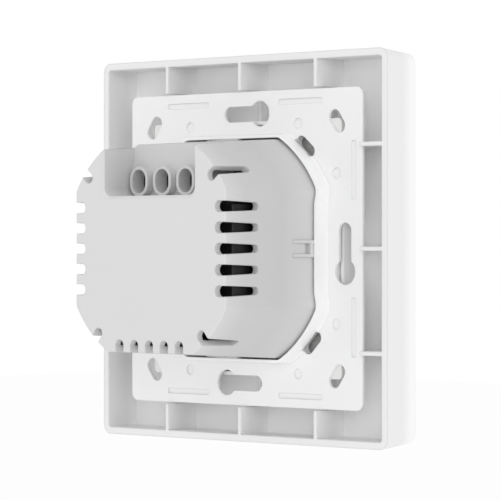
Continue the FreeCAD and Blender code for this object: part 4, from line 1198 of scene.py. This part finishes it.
@dataclass
class PowerElectronics:
    """The board in the housing, with its relays, transformer and power supply."""

    shop: Workshop
    joint_radius: float = 0.85 * MM
    joint_height: float = 0.7 * MM
    joint_faces: int = 14
    pin_radius: float = 0.26 * MM
    vent_share: float = 0.72
    vent_sheet: float = 0.08 * MM
    vent_gap: float = 0.12 * MM
    stripe_angle: float = 42.0
    stripe_sheet: float = 0.05 * MM
    stripe_foot_share: float = 0.2
    stripe_top_share: float = 0.15
    waist_radius: float = 2.5 * MM
    flange: float = 0.8 * MM
    wire_radius: float = 0.2 * MM
    wire_rise_share: float = 0.6
    wire_angles: tuple[float, ...] = (20.0, 60.0, 90.0, 120.0, 160.0)
    band_sheet: float = 0.04 * MM
    band_gap: float = 0.005 * MM
    band_width: float = 0.6 * MM
    band_shares: tuple[float, ...] = (0.3, 0.45, 0.6)
    relay_rounding: EdgeRounding = EdgeRounding(0.12 * MM, 2)

    CONE = ((1.0, 0.0), (0.66, 0.18), (0.45, 0.5), (0.36, 1.0))
    TIP = ((1.0, 1.0), (1.0, 1.35), (0.5, 1.5))
    RELAY_PINS = ((-0.36, 0.38), (0.36, 0.38), (0.0, -0.38), (-0.36, -0.12), (0.36, -0.12))
    RELAYS = ("relay_up", "relay_down")
    PINS = {
        "transformer_bobbin": ((-0.4, 0.4), (0.4, 0.4), (-0.4, -0.4), (0.4, -0.4)),
        "safety_capacitor": ((-0.4, 0.0), (0.4, 0.0)),
        "varistor": ((0.0, 0.33), (0.0, -0.33)),
        "bridge_rectifier": ((-0.38, 0.0), (0.38, 0.0)),
        "input_capacitor": ((-0.22, 0.0), (0.22, 0.0)),
        "output_capacitor": ((-0.22, 0.0), (0.22, 0.0)),
        "filter_inductor": ((-0.25, 0.0), (0.25, 0.0)),
        "fuse_resistor": ((0.0, 0.0),),
    }

    def build(self) -> None:
        """Dress what comes with the frame, then add the soldering and the parts' details."""
        self.shop.dress("power_board", "transformer_core", "transformer_winding", *self.PINS)
        self.shop.dress(*self.RELAYS, rounding=self.relay_rounding)
        self.add_solder_joints()
        for node in ("input_capacitor", "output_capacitor"):
            self.add_capacitor_top(node)
            self.add_capacitor_stripe(node)
        self.add_inductor_wire()
        self.add_fuse_bands()

    def add_solder_joints(self) -> None:
        """Put a solder cone with a pin tip under each leg of the power parts."""
        front = NodeBox.of("power_board").low.y
        profile = [
            (radius * share, front - self.joint_height * rise)
            for radius, shape in ((self.joint_radius, self.CONE), (self.pin_radius, self.TIP))
            for share, rise in shape]
        shaper = MeshShaper()
        pins = dict.fromkeys(self.RELAYS, self.RELAY_PINS) | self.PINS
        for node, places in pins.items():
            box = NodeBox.of(node)
            for share_x, share_z in places:
                centre = (box.middle.x + share_x * box.size.x, box.middle.z + share_z * box.size.z)
                shaper.add_turned(centre, profile, segments=self.joint_faces)
        self.shop.add("power_solder_joints", shaper, "shield_tin", BODY, smooth=True)

    def add_capacitor_top(self, node: str) -> None:
        """Show the bare scored top of one can capacitor as four sectors with a cross between them.

        Args:
            node: The capacitor's name.
        """
        box = NodeBox.of(node)
        x, z = box.centre
        radius = self.vent_share * box.size.x / 2.0
        shift = self.vent_gap * math.sqrt(0.5)
        shaper = MeshShaper()
        for start in (0.0, 90.0, 180.0, 270.0):
            middle = math.radians(start + 45.0)
            heart = (x + shift * math.cos(middle), z + shift * math.sin(middle))
            rim = arc_points(heart, radius, start, start + 90.0)
            shaper.add_prism([heart] + rim, box.high.y, box.high.y + self.vent_sheet)
        self.shop.add(f"{node}_top", shaper, "shield_tin", BODY)

    def add_capacitor_stripe(self, node: str) -> None:
        """Wrap the pale stripe that marks the negative leg round part of one can.

        Args:
            node: The capacitor's name.
        """
        box = NodeBox.of(node)
        radius = box.size.x / 2.0
        first, last = -90.0 - self.stripe_angle / 2.0, -90.0 + self.stripe_angle / 2.0
        inner = arc_points(box.centre, radius + CLEARANCE, first, last)
        outer = arc_points(box.centre, radius + self.stripe_sheet, last, first)
        foot = box.low.y + box.size.y * self.stripe_foot_share
        top = box.high.y - radius * self.stripe_top_share
        shaper = MeshShaper()
        shaper.add_prism(inner + outer, foot, top)
        self.shop.add(f"{node}_stripe", shaper, "tray_white", BODY)

    def add_inductor_wire(self) -> None:
        """Wind the enamelled wire on the filter inductor's waist."""
        box = NodeBox.of("filter_inductor")
        low, high = box.low.y + self.flange, box.high.y - self.flange
        count = int((high - low) / (2.0 * self.wire_radius))
        inner = self.waist_radius + CLEARANCE
        profile = [(inner, low + CLEARANCE)]
        for turn in range(count):
            middle = low + (turn + 0.5) * (high - low) / count
            for angle in map(math.radians, self.wire_angles):
                profile.append((
                    inner + self.wire_radius * (self.wire_rise_share + math.sin(angle)),
                    middle - self.wire_radius * math.cos(angle)))
        profile.append((inner, high - CLEARANCE))
        shaper = MeshShaper()
        shaper.add_turned(box.centre, profile, closed=True)
        self.shop.add("filter_inductor_wire", shaper, "contact_copper", BODY, smooth=True)

    def add_fuse_bands(self) -> None:
        """Put the bands round the fuse resistor."""
        box = NodeBox.of("fuse_resistor")
        inner, outer = box.size.x / 2.0 + self.band_gap, box.size.x / 2.0 + self.band_sheet
        shaper = MeshShaper()
        for share in self.band_shares:
            low = box.low.y + share * box.size.y
            high = low + self.band_width
            profile = [(inner, low), (outer, low), (outer, high), (inner, high)]
            shaper.add_turned(box.centre, profile, closed=True)
        self.shop.add("fuse_resistor_bands", shaper, "bobbin_black", BODY)


def main() -> None:
    """Build the looks of the switch around its frame."""
    logging.basicConfig(level=logging.INFO)
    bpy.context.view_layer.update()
    shop = Workshop(Palette(SurfaceEffects()))
    Studio().build()
    for assembly in (CoverFrame(shop), MountingStrap(shop), RearHousing(shop), TerminalSet(shop),
                     FrontKeys(shop), ControlElectronics(shop), PowerElectronics(shop)):
        assembly.build()
        LOG.info("%s built", type(assembly).__name__)


if __name__ == "__main__":
    main()
